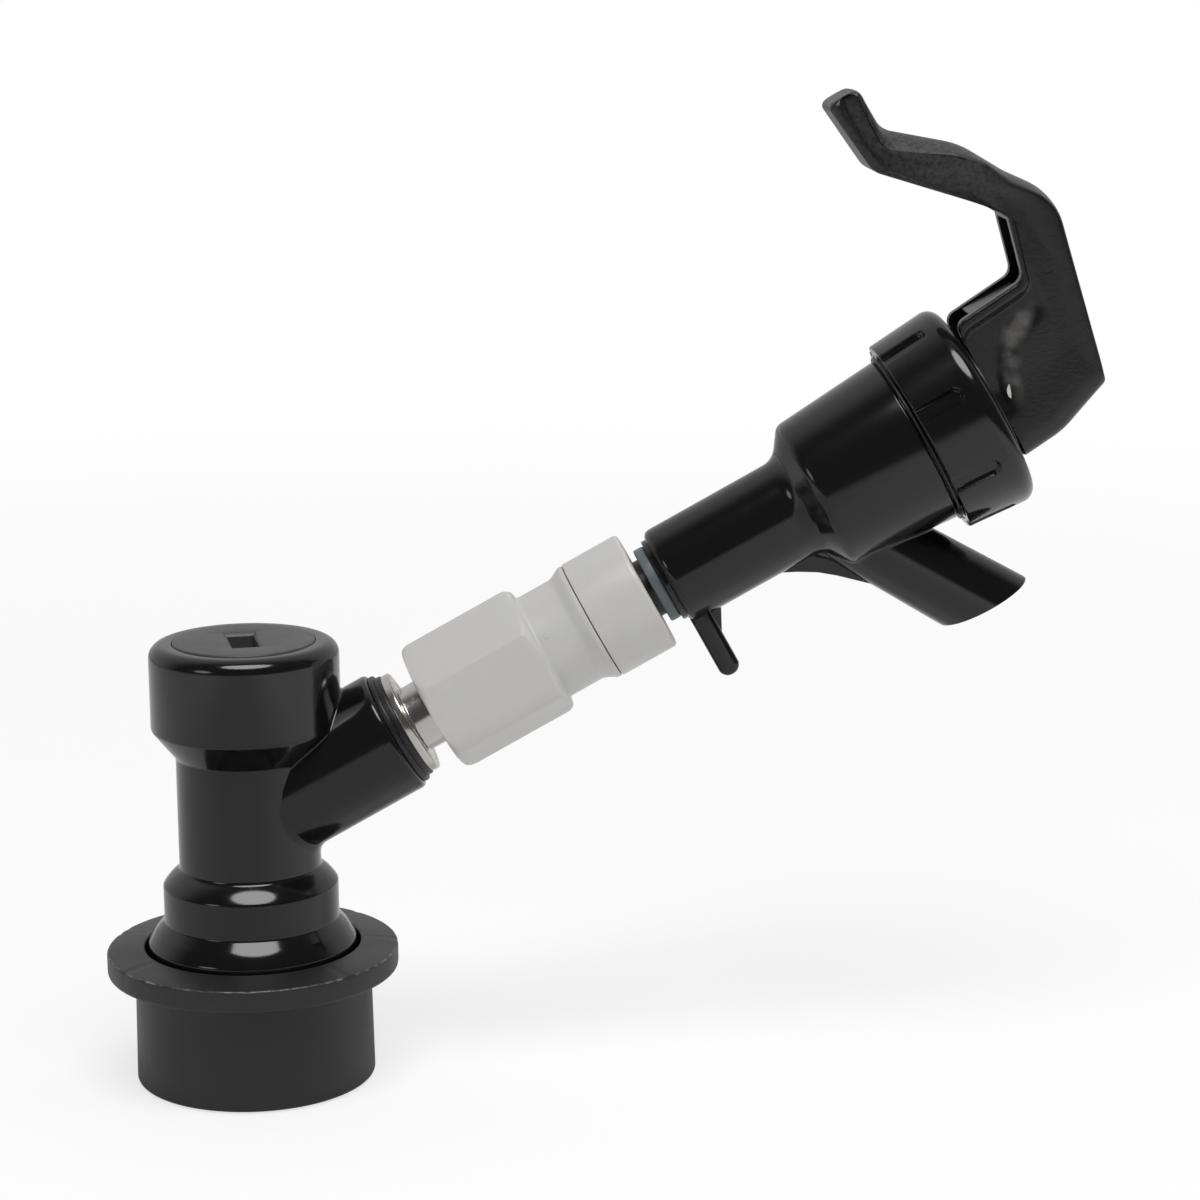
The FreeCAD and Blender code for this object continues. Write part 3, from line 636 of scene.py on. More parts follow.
def span(add, value, low, high, to=(0.0, 1.0), **facts):
    """Value mapped from low and high to two other levels."""
    inputs = {"Value": value, "From Min": low, "From Max": high, "To Min": to[0], "To Max": to[1]}
    return add("ShaderNodeMapRange", inputs, **facts).outputs["Result"]


def blend(add, factor, first, second, kind="RGBA"):
    """Mix of two colours, or of two floats."""
    inputs = {"Factor": factor, "A": first, "B": second}
    return add("ShaderNodeMix", inputs, data_type=kind).outputs["Result"]


def placed(add, group, inputs):
    """Output of a node group placed with those inputs."""
    return add("ShaderNodeGroup", inputs, node_tree=bpy.data.node_groups[group]).outputs[0]


def new_group(name, inputs, result):
    """Shader node group with a Vector input, float inputs (name, default) and one float output. Gives its
    adder of nodes and the sockets of its inputs."""
    group = bpy.data.node_groups.new(name, "ShaderNodeTree")
    group.interface.new_socket("Vector", in_out="INPUT", socket_type="NodeSocketVector")
    for label, value in inputs:
        socket = group.interface.new_socket(label, in_out="INPUT", socket_type="NodeSocketFloat")
        socket.default_value = value
    group.interface.new_socket(result, in_out="OUTPUT", socket_type="NodeSocketFloat")
    add = node_adder(group)
    return add, add("NodeGroupInput").outputs


def grain_group():
    """Fine moulded grain: a noise, and a share of one four times finer, added to a height."""
    add, given = new_group("Moulded Grain", [("Scale", 2500.0), ("Fine share", 0.4)], "Height")
    coarse = noise(add, given["Vector"], given["Scale"], 3.0, 0.6)
    fine = noise(add, given["Vector"], maths(add, "MULTIPLY", given["Scale"], 4.0), 2.0)
    height = maths(add, "MULTIPLY_ADD", fine, given["Fine share"], coarse)
    add("NodeGroupOutput", {"Height": height})


def handling_group():
    """Uneven gloss from handling: a broad noise for smudges and a stretched one for fine rubbing marks."""
    add, given = new_group(
        "Handling Marks", [("Scale", 60.0), ("Base", 0.15), ("Smudge", 0.1), ("Rub", 0.05)], "Roughness"
    )
    stretched = add("ShaderNodeMapping", {"Vector": given["Vector"], "Scale": (14.0, 5.0, 1.6)})
    smudge = span(add, noise(add, given["Vector"], given["Scale"], 4.0, 0.55), 0.42, 0.72)
    rub = span(add, noise(add, stretched.outputs["Vector"], given["Scale"], 2.0, 0.7), 0.58, 0.74)
    smudged = maths(add, "MULTIPLY_ADD", smudge, given["Smudge"], given["Base"])
    rubbed = maths(add, "MULTIPLY_ADD", rub, given["Rub"], smudged)
    add("NodeGroupOutput", {"Roughness": rubbed})


def ring_wear_group():
    """Worn spots on a ring about z: a soft band at a radius and a height, broken up by noise."""
    add, given = new_group("Ring Wear", [
        ("Radius", 0.0205), ("Height", 0.0188), ("Width", 0.0008), ("Scale", 420.0), ("Amount", 0.5)
    ], "Mask")
    split = add("ShaderNodeSeparateXYZ", {0: given["Vector"]}).outputs
    flat = add("ShaderNodeCombineXYZ", {"X": split["X"], "Y": split["Y"]}).outputs[0]
    out_by = maths(add, "SUBTRACT", length(add, flat), given["Radius"])
    up_by = maths(add, "SUBTRACT", split["Z"], given["Height"])
    away = length(add, add("ShaderNodeCombineXYZ", {"X": out_by, "Y": up_by}).outputs[0])
    band = span(add, maths(add, "DIVIDE", away, given["Width"]), 1.0, 0.0)
    spots = maths(add, "MULTIPLY", band, noise(add, given["Vector"], given["Scale"], 5.0, 0.7))
    above = maths(add, "SUBTRACT", spots, maths(add, "SUBTRACT", 1.0, given["Amount"]))
    add("NodeGroupOutput", {"Mask": maths(add, "MULTIPLY", above, 6.0, use_clamp=True)})


def dull_and_painted_light_spot_group():
    """Soft spot: 1 in the middle of a ball of radius 1 about the origin and 0 outside, or the mask before it
    where that is more."""
    add, given = new_group("Dull Painted Light Spot", [("Previous", 0.0)], "Mask")
    fade = span(add, length(add, given["Vector"]), 1.0, 0.1, interpolation_type="SMOOTHSTEP")
    add("NodeGroupOutput", {"Mask": maths(add, "MAXIMUM", fade, given["Previous"])})


def bumped(add, height, strength, **inputs):
    """Normal raised by a height of up to GRAIN_DEPTH."""
    inputs = {"Height": height, "Strength": strength, "Distance": GRAIN_DEPTH, **inputs}
    return add("ShaderNodeBump", inputs).outputs["Normal"]


def dull_and_paint_light_spots(material, spots, bloom, roughness, scale, grain=0.0):
    """Dulls a material in soft ellipsoids and paints a lighter colour in them as painted light (a painted
    highlight in the lever's hollow, a painted sheen on its paddle): (across, level, along) of the middle,
    the angle of the long axis from the line's across direction, and the three radii. A noise of that scale
    thins the painted light colour, and grain adds a moulded grain there, on top of the material's own."""
    tree = material.node_tree
    add = node_adder(tree)
    shader = tree.nodes["Principled BSDF"].inputs
    place = add("ShaderNodeTexCoord").outputs["Object"]
    mask = 0.0
    for middle, angle, radii in spots:
        turned = add("ShaderNodeMapping", {
            "Vector": place,
            "Location": tuple(on_line(middle) * MM),
            "Rotation": (0.0, math.pi / 2 - SLANT + angle, 0.0),
            "Scale": tuple(radius * MM for radius in radii),
        }, vector_type="TEXTURE")
        mask = placed(add, "Dull Painted Light Spot", {"Vector": turned.outputs["Vector"], "Previous": mask})
    rough = blend(add, mask, source_of(shader["Roughness"]), roughness, "FLOAT")
    painted_light_share = maths(add, "MULTIPLY", span(add, noise(add, place, scale, 3.0), 0.3, 0.6), mask)
    painted_light_tint = blend(add, painted_light_share, source_of(shader["Base Color"]), (*bloom, 1.0))
    tree.links.new(rough, shader["Roughness"])
    tree.links.new(painted_light_tint, shader["Base Color"])
    if grain:
        height = maths(add, "MULTIPLY", placed(add, "Moulded Grain", {"Vector": place}), mask)
        normal = bumped(add, height, grain, Normal=source_of(shader["Normal"]))
        tree.links.new(normal, shader["Normal"])


def plastic(
    name, colour, base, smudge=0.08, rub=0.04, grain=0.0, grain_scale=2500.0, wear=None, subsurface=0.0
):
    """Moulded plastic: one colour, gloss broken up by handling marks, a fine grain in the normal, and a worn
    ring where wear gives its size."""
    material = bpy.data.materials.new(FINISH + name)
    material.use_nodes = True
    tree = material.node_tree
    add = node_adder(tree)
    shader = tree.nodes["Principled BSDF"].inputs
    shader["Base Color"].default_value = (*colour, 1.0)
    shader["Subsurface Weight"].default_value = subsurface
    shader["Subsurface Scale"].default_value = LIGHT_DEPTH
    place = add("ShaderNodeTexCoord").outputs["Object"]
    marks = placed(add, "Handling Marks", {"Vector": place, "Base": base, "Smudge": smudge, "Rub": rub})
    tree.links.new(marks, shader["Roughness"])
    if grain:
        height = placed(add, "Moulded Grain", {"Vector": place, "Scale": grain_scale})
        tree.links.new(bumped(add, height, grain), shader["Normal"])
    if wear:
        mask = placed(add, "Ring Wear", {"Vector": place, **wear})
        tree.links.new(blend(add, mask, (*colour, 1.0), WORN_COLOUR), shader["Base Color"])
    return material


def metal(name, colour, base):
    """Bare metal with fine marks in its gloss and a light grain."""
    material = plastic(name, colour, base, smudge=0.10, rub=0.12, grain=0.12, grain_scale=1800.0)
    material.node_tree.nodes["Principled BSDF"].inputs["Metallic"].default_value = 1.0


class TAP_OT_materials(bpy.types.Operator):
    """Makes the node groups and the finishes"""

    bl_idname = "tap.materials"
    bl_label = "Finishes"

    def execute(self, context):
        finish = context.scene.tap_finish
        grain_group()
        handling_group()
        ring_wear_group()
        dull_and_painted_light_spot_group()
        black = tuple(finish.black)
        plastic("gloss_black", black, 0.11, smudge=0.05, rub=0.04)
        lever = plastic("lever_black", black, 0.24, smudge=0.10, rub=0.05, grain=0.28, grain_scale=1700.0)
        # The hollow's spots raise the roughness and paint a lighter brownish grey: a painted highlight on
        # the slope round the block.
        hollow = [
            ((across, level, LEVER_BASE + height), math.radians(angle), radii)
            for level in (-LEVER_HALF, LEVER_HALF)
            for across, height, angle, radii in (
                (-8.0, 7.4, 54, (5.6, 3.0, 2.4)),
                (-5.0, 4.9, 35, (4.8, 3.0, 2.2)),
                (-1.8, 3.2, 8, (4.4, 3.0, 1.9)),
            )
        ]
        # The paddle's spot raises the roughness and adds grain, and paints a lighter grey there: a painted
        # sheen.
        paddle = [((-38.0, 0.0, LEVER_BASE + 8.0), math.radians(-33), (22.0, 14.0, 13.0))]
        dull_and_paint_light_spots(lever, hollow, (0.125, 0.121, 0.116), 0.6, 350.0)
        dull_and_paint_light_spots(lever, paddle, (0.05, 0.05, 0.051), 0.44, 1800.0, grain=1.0)
        plastic(
            "satin_black", (0.015, 0.015, 0.0155), 0.38, smudge=0.12, grain=0.20,
            wear={
                "Radius": (FLANGE_RADIUS - 0.1) * MM, "Height": FLANGE_EDGE * MM, "Width": 0.7 * MM,
                "Scale": 800.0, "Amount": 0.60,
            }
        )
        # The plug's colour is lighter than the collar's, whose slot it shares: a painted sheen for the
        # overhead light on its top face.
        plastic("plug_black", (0.052, 0.052, 0.053), 0.40, smudge=0.12, grain=0.12)
        plastic("collet_black", (0.008, 0.008, 0.0085), 0.35, grain=0.08)
        plastic("fitting_grey", tuple(finish.fitting), 0.30, smudge=0.08, grain=0.05, subsurface=0.15)
        plastic("blue_grey", tuple(finish.ring), 0.38, grain=0.08)
        plastic("black_rubber", (0.012, 0.012, 0.012), 0.6)
        plastic("white_plastic", (0.72, 0.71, 0.68), 0.35, subsurface=0.1)
        metal("stainless", tuple(finish.steel), 0.16)
        metal("spring_steel", (0.5, 0.49, 0.47), 0.25)
        return {"FINISHED"}


class TAP_OT_inner_pieces(bpy.types.Operator):
    """Gives the CAD nodes that stay in sight or inside their finishes"""

    bl_idname = "tap.inner_pieces"
    bl_label = "Inner pieces"

    def execute(self, context):
        for name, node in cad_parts.items():
            material = bpy.data.materials[FINISH + SLOTS[name]]
            if len(node.data.materials) == 0:
                node.data.materials.append(material)
            for index in range(len(node.data.materials)):
                node.data.materials[index] = material
        return {"FINISHED"}


# The disconnect

def disconnect_outside():
    """Corners of the disconnect's outside, from the bell's edge up to the head's top."""
    shoulder = BULB_RADIUS - NECK_RADIUS
    return [
        (FLARE_RADIUS, BELL_END, 0.3),
        (FLARE_RADIUS, FLARE_HEIGHT, 1.0),
        (13.84, 22.05, 6.0),
        (BULB_RADIUS, BULB_BOTTOM, 0.5),
        (BULB_RADIUS, NECK_BOTTOM - shoulder, 0.8),
        (BULB_RADIUS - 1.02, NECK_BOTTOM - 1.02, 6.0),
        (NECK_RADIUS, NECK_BOTTOM, 0.8),
        (NECK_RADIUS, NECK_TOP, 0.6),
        (HEAD_RADIUS, HEAD_BOTTOM, 1.0),
        (HEAD_RADIUS, HEAD_TOP, 2.0),
    ]


class TAP_OT_disconnect(bpy.types.Operator):
    """Bell-shaped disconnect body with its slanting arm"""

    bl_idname = "tap.disconnect"
    bl_label = "Disconnect body"

    def execute(self, context):
        settings = context.scene.tap_shape
        groove = SKIRT_RADIUS - RING_GROOVE
        plug_bore = PLUG_RADIUS + THREAD_GAP
        corners = disconnect_outside() + [
            (plug_bore, HEAD_TOP, 0.15),
            (plug_bore, CHAMBER_TOP),
            (CHAMBER_RADIUS, CHAMBER_TOP),
            (CHAMBER_RADIUS, THROAT_END),
            (THROAT_RADIUS, THROAT_END),
            (THROAT_RADIUS, BELL_CEILING),
            (SEAL_BORE_RADIUS, BELL_CEILING),
            (SEAL_BORE_RADIUS, POST_BORE_END),
            (POST_BORE_RADIUS, POST_BORE_END, 0.2),
            (POST_BORE_RADIUS, MOUTH_END),
            (MOUTH_RADIUS, MOUTH_END),
            (MOUTH_RADIUS, 0, 0.25),
            (SKIRT_RADIUS, 0, 0.3),
            (SKIRT_RADIUS, RING_FOOT),
            (groove, RING_FOOT),
            (groove, RING_TOP),
            (SKIRT_RADIUS, RING_TOP),
            (SKIRT_RADIUS, BELL_CEILING),
            (FLARE_RADIUS - BELL_WALL, BELL_CEILING),
            (FLARE_RADIUS - BELL_WALL, BELL_END, 0.3),
        ]
        body = grid_shell(lathe(rounded(corners), settings.around))
        outside = rounded(disconnect_outside() + [(0.0, HEAD_TOP)])
        origin = np.array([0.0, 0.0, LINE_HEIGHT])
        below = np.cos(np.linspace(0, 2 * math.pi, settings.around, endpoint=False))
        fillet = 0.3 + (settings.arm_fillet / MM - 0.3) * step_up(below, -0.35, 0.35)
        root, outward = branch_root(
            outside, origin, LINE_ALONG, LINE_ACROSS,
            lambda place: np.full_like(place, ARM_RADIUS), fillet, 0.0, 23.0
        )
        profile = rounded([
            (ARM_RADIUS, ARM_END - 1.5), (ARM_RADIUS, ARM_END, 0.7), (SOCKET_RADIUS, ARM_END, 0.15),
            (SOCKET_RADIUS, SOCKET_START), (ARM_BORE, SOCKET_START), (ARM_BORE, ARM_BORE_START),
        ])[:-1]
        end_rows = [
            origin + place * LINE_ALONG + radius * outward
            for radius, place in np.vstack([profile, [ARM_BORE, ARM_BORE_START]])
        ]
        rows = np.concatenate([root, np.stack(end_rows)])
        add_piece("disconnect_shell", [body, grid_shell(rows)], "disconnect_body", "gloss_black")
        return {"FINISHED"}


def box_loop(half_x, half_y, height, per_side):
    """Rectangle as a loop of points, per_side points along each side, starting at a corner."""
    share = np.linspace(0, 1, per_side, endpoint=False)
    corners = np.array([[half_x, half_y], [-half_x, half_y], [-half_x, -half_y], [half_x, -half_y]])
    following = np.roll(corners, -1, axis=0)
    loop = (corners[:, None] + share[None, :, None] * (following - corners)[:, None]).reshape(-1, 2)
    return np.column_stack([loop, np.full(len(loop), height)])


def circle_loop(radius, height, per_side):
    """Circle with as many points as box_loop, its quarter points on the rectangle's diagonals."""
    turn = math.pi / 4 + np.linspace(0, 2 * math.pi, 4 * per_side, endpoint=False)
    return np.column_stack([radius * np.cos(turn), radius * np.sin(turn), np.full(len(turn), height)])


class TAP_OT_plug(bpy.types.Operator):
    """Slotted plug in the head, its slot with a chamfer all round"""

    bl_idname = "tap.plug"
    bl_label = "Top plug"

    def execute(self, context):
        per_side = context.scene.tap_shape.around // 4
        half_x, half_y = SLOT_WIDTH / 2, SLOT_LENGTH / 2
        slot_floor = PLUG_TOP - SLOT_DEPTH
        loops = [
            box_loop(0.02, 0.01, slot_floor, per_side),
            box_loop(half_x - 0.3, half_y - 0.3, slot_floor, per_side),
            box_loop(half_x - 0.1, half_y - 0.1, slot_floor + 0.1, per_side),
            box_loop(half_x, half_y, slot_floor + 0.4, per_side),
            box_loop(half_x, half_y, PLUG_TOP - 0.55, per_side),
            box_loop(half_x + 0.08, half_y + 0.08, PLUG_TOP - 0.42, per_side),
            box_loop(half_x + 0.42, half_y + 0.42, PLUG_TOP - 0.08, per_side),
            box_loop(half_x + 0.6, half_y + 0.6, PLUG_TOP, per_side),
        ]
        rim = rounded([
            (PLUG_RADIUS * 0.72, PLUG_TOP),
            (PLUG_RADIUS, PLUG_TOP, 0.3),
            (PLUG_RADIUS, PLUG_RING_HEIGHT + PLUG_GROOVE_HALF),
            (PLUG_RADIUS - PLUG_GROOVE_DEPTH, PLUG_RING_HEIGHT + PLUG_GROOVE_HALF),
            (PLUG_RADIUS - PLUG_GROOVE_DEPTH, PLUG_RING_HEIGHT - PLUG_GROOVE_HALF),
            (PLUG_RADIUS, PLUG_RING_HEIGHT - PLUG_GROOVE_HALF),
            (PLUG_RADIUS, CHAMBER_TOP),
            (GUIDE_BOSS_RADIUS, CHAMBER_TOP),
            (GUIDE_BOSS_RADIUS, GUIDE_BOSS_END),
            (GUIDE_RADIUS, GUIDE_BOSS_END),
            (GUIDE_RADIUS, GUIDE_END),
            (0.01, GUIDE_END),
        ])
        loops += [circle_loop(radius, height, per_side) for radius, height in rim]
        rows = np.stack(loops)
        turned = rows.copy()
        turned[..., 0] = rows[..., 0] * math.cos(SLOT_TURN) - rows[..., 1] * math.sin(SLOT_TURN)
        turned[..., 1] = rows[..., 0] * math.sin(SLOT_TURN) + rows[..., 1] * math.cos(SLOT_TURN)
        add_piece("slotted_plug", [capped_shell(turned)], "top_plug", "plug_black")
        return {"FINISHED"}


class TAP_OT_collar(bpy.types.Operator):
    """Flanged release collar, its flange's edge nicked by use"""

    bl_idname = "tap.collar"
    bl_label = "Release collar"

    def execute(self, context):
        corners = [
            (COLLAR_FOOT_RADIUS, 0, 0.6),
            (COLLAR_RADIUS, FLANGE_BOTTOM, 0.6),
            (FLANGE_RADIUS, FLANGE_BOTTOM, 0.7),
            (FLANGE_RADIUS, FLANGE_EDGE, 0.4),
            (COLLAR_HOLE, FLANGE_TOP, 0.3),
            (COLLAR_HOLE, COLLAR_LAND),
            (SKIRT_RADIUS + SLIDE_GAP, COLLAR_LAND),
            (SKIRT_RADIUS + SLIDE_GAP, RAMP_START),
            (RAMP_END_RADIUS, RECESS_STEP),
            (RECESS_RADIUS, RECESS_STEP),
            (RECESS_RADIUS, 0, 0.3),
        ]

        def nick(rows):
            """Draws the flange's top edge in where a sum of sines over the bearing passes a limit."""
            radius = np.hypot(rows[..., 0], rows[..., 1])
            turn = np.arctan2(rows[..., 1], rows[..., 0])
            near = np.exp(-((radius - FLANGE_RADIUS + 0.3) ** 2 + (rows[..., 2] - FLANGE_EDGE) ** 2) / 0.5)
            waves = np.sin(7 * turn + 1.3) + np.sin(19 * turn) + 0.8 * np.sin(43 * turn + 0.6)
            depth = NICK_DEPTH * np.clip(waves - NICK_LIMIT, 0, 1) * near
            return drawn_in(rows, depth, depth)

        turned_piece("collar", corners, "release_collar", "satin_black", around=COLLAR_COLUMNS, shape=nick)
        return {"FINISHED"}


# The outlet and the fitting

class TAP_OT_outlet(bpy.types.Operator):
    """Stepped black ring and the steel insert with its wrench flat"""

    bl_idname = "tap.outlet"
    bl_label = "Outlet ring and insert"

    def execute(self, context):
        turned_piece("outlet_ring", [
            (SOCKET_RADIUS, ARM_END),
            (RING_STEP_RADIUS, ARM_END, 0.15),
            (RING_STEP_RADIUS, GASKET_START, 0.25),
            (GASKET_RADIUS, GASKET_START),
            (GASKET_RADIUS, INSERT_FLANGE_START, 0.25),
            (SOCKET_RADIUS, INSERT_FLANGE_START),
        ], "outlet_sealing_ring", "collet_black", line=True)

        def wrench_flat(rows):
            """Clips the neck to a plane on its upper side."""
            on_neck = (rows[..., 2] > INSERT_NECK_START + 0.2) & (rows[..., 2] < HEX_START)
            across = np.where(on_neck, np.maximum(rows[..., 0], -INSERT_FLAT), rows[..., 0])
            return np.stack([across, rows[..., 1], rows[..., 2]], axis=-1)

        sleeve = SOCKET_RADIUS - THREAD_GAP
        turned_piece("steel_insert", [
            (INSERT_BORE, SOCKET_START + SLIDE_GAP),
            (sleeve, SOCKET_START + SLIDE_GAP),
            (sleeve, INSERT_FLANGE_START),
            (INSERT_FLANGE_RADIUS, INSERT_FLANGE_START, 0.15),
            (INSERT_FLANGE_RADIUS, INSERT_NECK_START, 0.3),
            (FACE_GROOVE_RADIUS + FACE_GROOVE_HALF, INSERT_NECK_START),
            (FACE_GROOVE_RADIUS, INSERT_NECK_START - FACE_GROOVE_DEPTH),
            (FACE_GROOVE_RADIUS - FACE_GROOVE_HALF, INSERT_NECK_START),
            (INSERT_NECK_RADIUS, INSERT_NECK_START, 0.25),
            (INSERT_NECK_RADIUS, HEX_START + 0.2),
            (THREAD_RADIUS, HEX_START + 0.6),
            (THREAD_RADIUS, FLARE_START),
            (THREAD_RADIUS - (FLARE_END - FLARE_START), FLARE_END),
            (INSERT_BORE, FLARE_END),
        ], "outlet_insert", "stainless", line=True, shape=wrench_flat)
        return {"FINISHED"}


class TAP_OT_fitting(bpy.types.Operator):
    """Hexagon body and round cap of the push-in fitting"""

    bl_idname = "tap.fitting"
    bl_label = "Push-in fitting"

    def execute(self, context):
        half_flat = HEX_FLATS / 2
        side = HEX_FLATS / math.sqrt(3)
        bore = THREAD_RADIUS + 0.1
        profile = rounded([
            (bore, HEX_START),
            (side - 0.9, HEX_START, 1.1),
            (side, HEX_START + 1.3, 0.8),
            (side, HEX_END - 1.0, 0.9),
            (side - 1.1, HEX_END, 0.5),
            (FITTING_NECK_RADIUS, HEX_END + 0.25, 0.5),
            (FITTING_NECK_RADIUS, SHOULDER_START, 2.0),
            (CAP_RADIUS - 0.1, SHOULDER_END, 0.7),
            (CAP_RADIUS - 0.1, SEAM - SEAM_GAP, 0.08),
            (SEAL_CHAMBER_RADIUS, SEAM - SEAM_GAP),
            (SEAL_CHAMBER_RADIUS, SEAL_CHAMBER_START),
            (TUBE_SOCKET, SEAL_CHAMBER_START),
            (TUBE_SOCKET, TUBE_STOP),
            (FITTING_BORE, TUBE_STOP),
            (FITTING_BORE, FLARE_SEAT_END),
            (bore, FLARE_SEAT_START),
        ])
        place = np.arange(0, len(profile) - 0.75, 0.5)
        profile = np.column_stack([
            np.interp(place, np.arange(len(profile)), column) for column in profile.T
        ])
        radius, station = profile[:, :1], profile[:, 1:]
        turn = np.linspace(0, 2 * math.pi, HEX_COLUMNS, endpoint=False)
        lean = np.abs((turn + math.pi / 6) % (math.pi / 3) - math.pi / 6)
        flat = half_flat / np.cos(math.pi / 6 - lean)
        flat = flat - HEX_CORNER_DEPTH * np.exp(-(lean / HEX_CORNER_SPREAD) ** 2)
        outside = (station < HEX_END + 0.3) & (radius > half_flat - 1.3)
        both = (radius + flat - np.sqrt((radius - flat) ** 2 + HEX_SOFTNESS ** 2)) / 2 + 0.02
        radius = np.where(outside, np.minimum(both, radius), radius)
        rows = np.stack([radius * np.cos(turn), radius * np.sin(turn), station + 0 * radius], axis=-1)
        gate = lathe(rounded([(0.001, 0.0), (0.5, 0.0), (0.5, 0.16, 0.1), (0.001, 0.12)]), 24)
        gate_out = np.array([math.cos(GATE_BEARING), math.sin(GATE_BEARING), 0])
        gate_side = np.array([-gate_out[1], gate_out[0], 0])
        gate = (
            (FITTING_NECK_RADIUS - 0.08 + gate[..., 2:]) * gate_out
            + gate[..., :1] * gate_side + (gate[..., 1:2] + [GATE_STATION]) * np.array([0, 0, 1.0])
        )
        add_piece(
            "fitting_hexagon", [grid_shell(on_line(rows)), grid_shell(on_line(gate), close=False)],
            "fitting_body", "fitting_grey"
        )
        front = COLLET_RADIUS + THREAD_GAP
        turned_piece("fitting_round_cap", [
            (TUBE_SOCKET + SLIDE_GAP, SEAM + SEAM_GAP),
            (CAP_RADIUS, SEAM + SEAM_GAP, 0.12),
            (CAP_RADIUS, CAP_END, 0.6),
            (RING_RADIUS + 0.35, CAP_END, 0.15),
            (RING_RADIUS + 0.25, CAP_END - 0.35),
            (front, CAP_END - 0.35, 0.1),
            (front, CAP_CONE_END),
            (CAP_BORE, CAP_CONE_START),
            (CAP_BORE, CAP_FLOOR),
            (TUBE_SOCKET + SLIDE_GAP, CAP_FLOOR),
        ], "fitting_cap", "fitting_grey", line=True)
        return {"FINISHED"}


class TAP_OT_collet(bpy.types.Operator):
    """Blue-grey ring that releases the tube"""

    bl_idname = "tap.collet_ring"
    bl_label = "Collet ring"

    def execute(self, context):
        inner = TUBE_SOCKET + THREAD_GAP
        turned_piece("release_ring", [
            (COLLET_RADIUS, RING_START),
            (RING_RADIUS, RING_START, 0.25),
            (RING_RADIUS, RING_END, 0.35),
            (inner, RING_END, 0.15),
            (inner, COLLET_END),
            (COLLET_RADIUS, COLLET_END),
        ], "collet_ring", "blue_grey", line=True)
        return {"FINISHED"}


# The tap

def tap_outside():
    """Corners of the tap's outside, from its neck's end to the barrel's end."""
    return [
        (TAP_NECK_RADIUS, TAP_START, 1.2),
        (TAP_NECK_RADIUS, TAP_SHOULDER_START, 3.0),
        (BARREL_START_RADIUS, TAP_SHOULDER_END, 1.8),
        (BARREL_END_RADIUS, BARREL_END, 0.35),
    ]


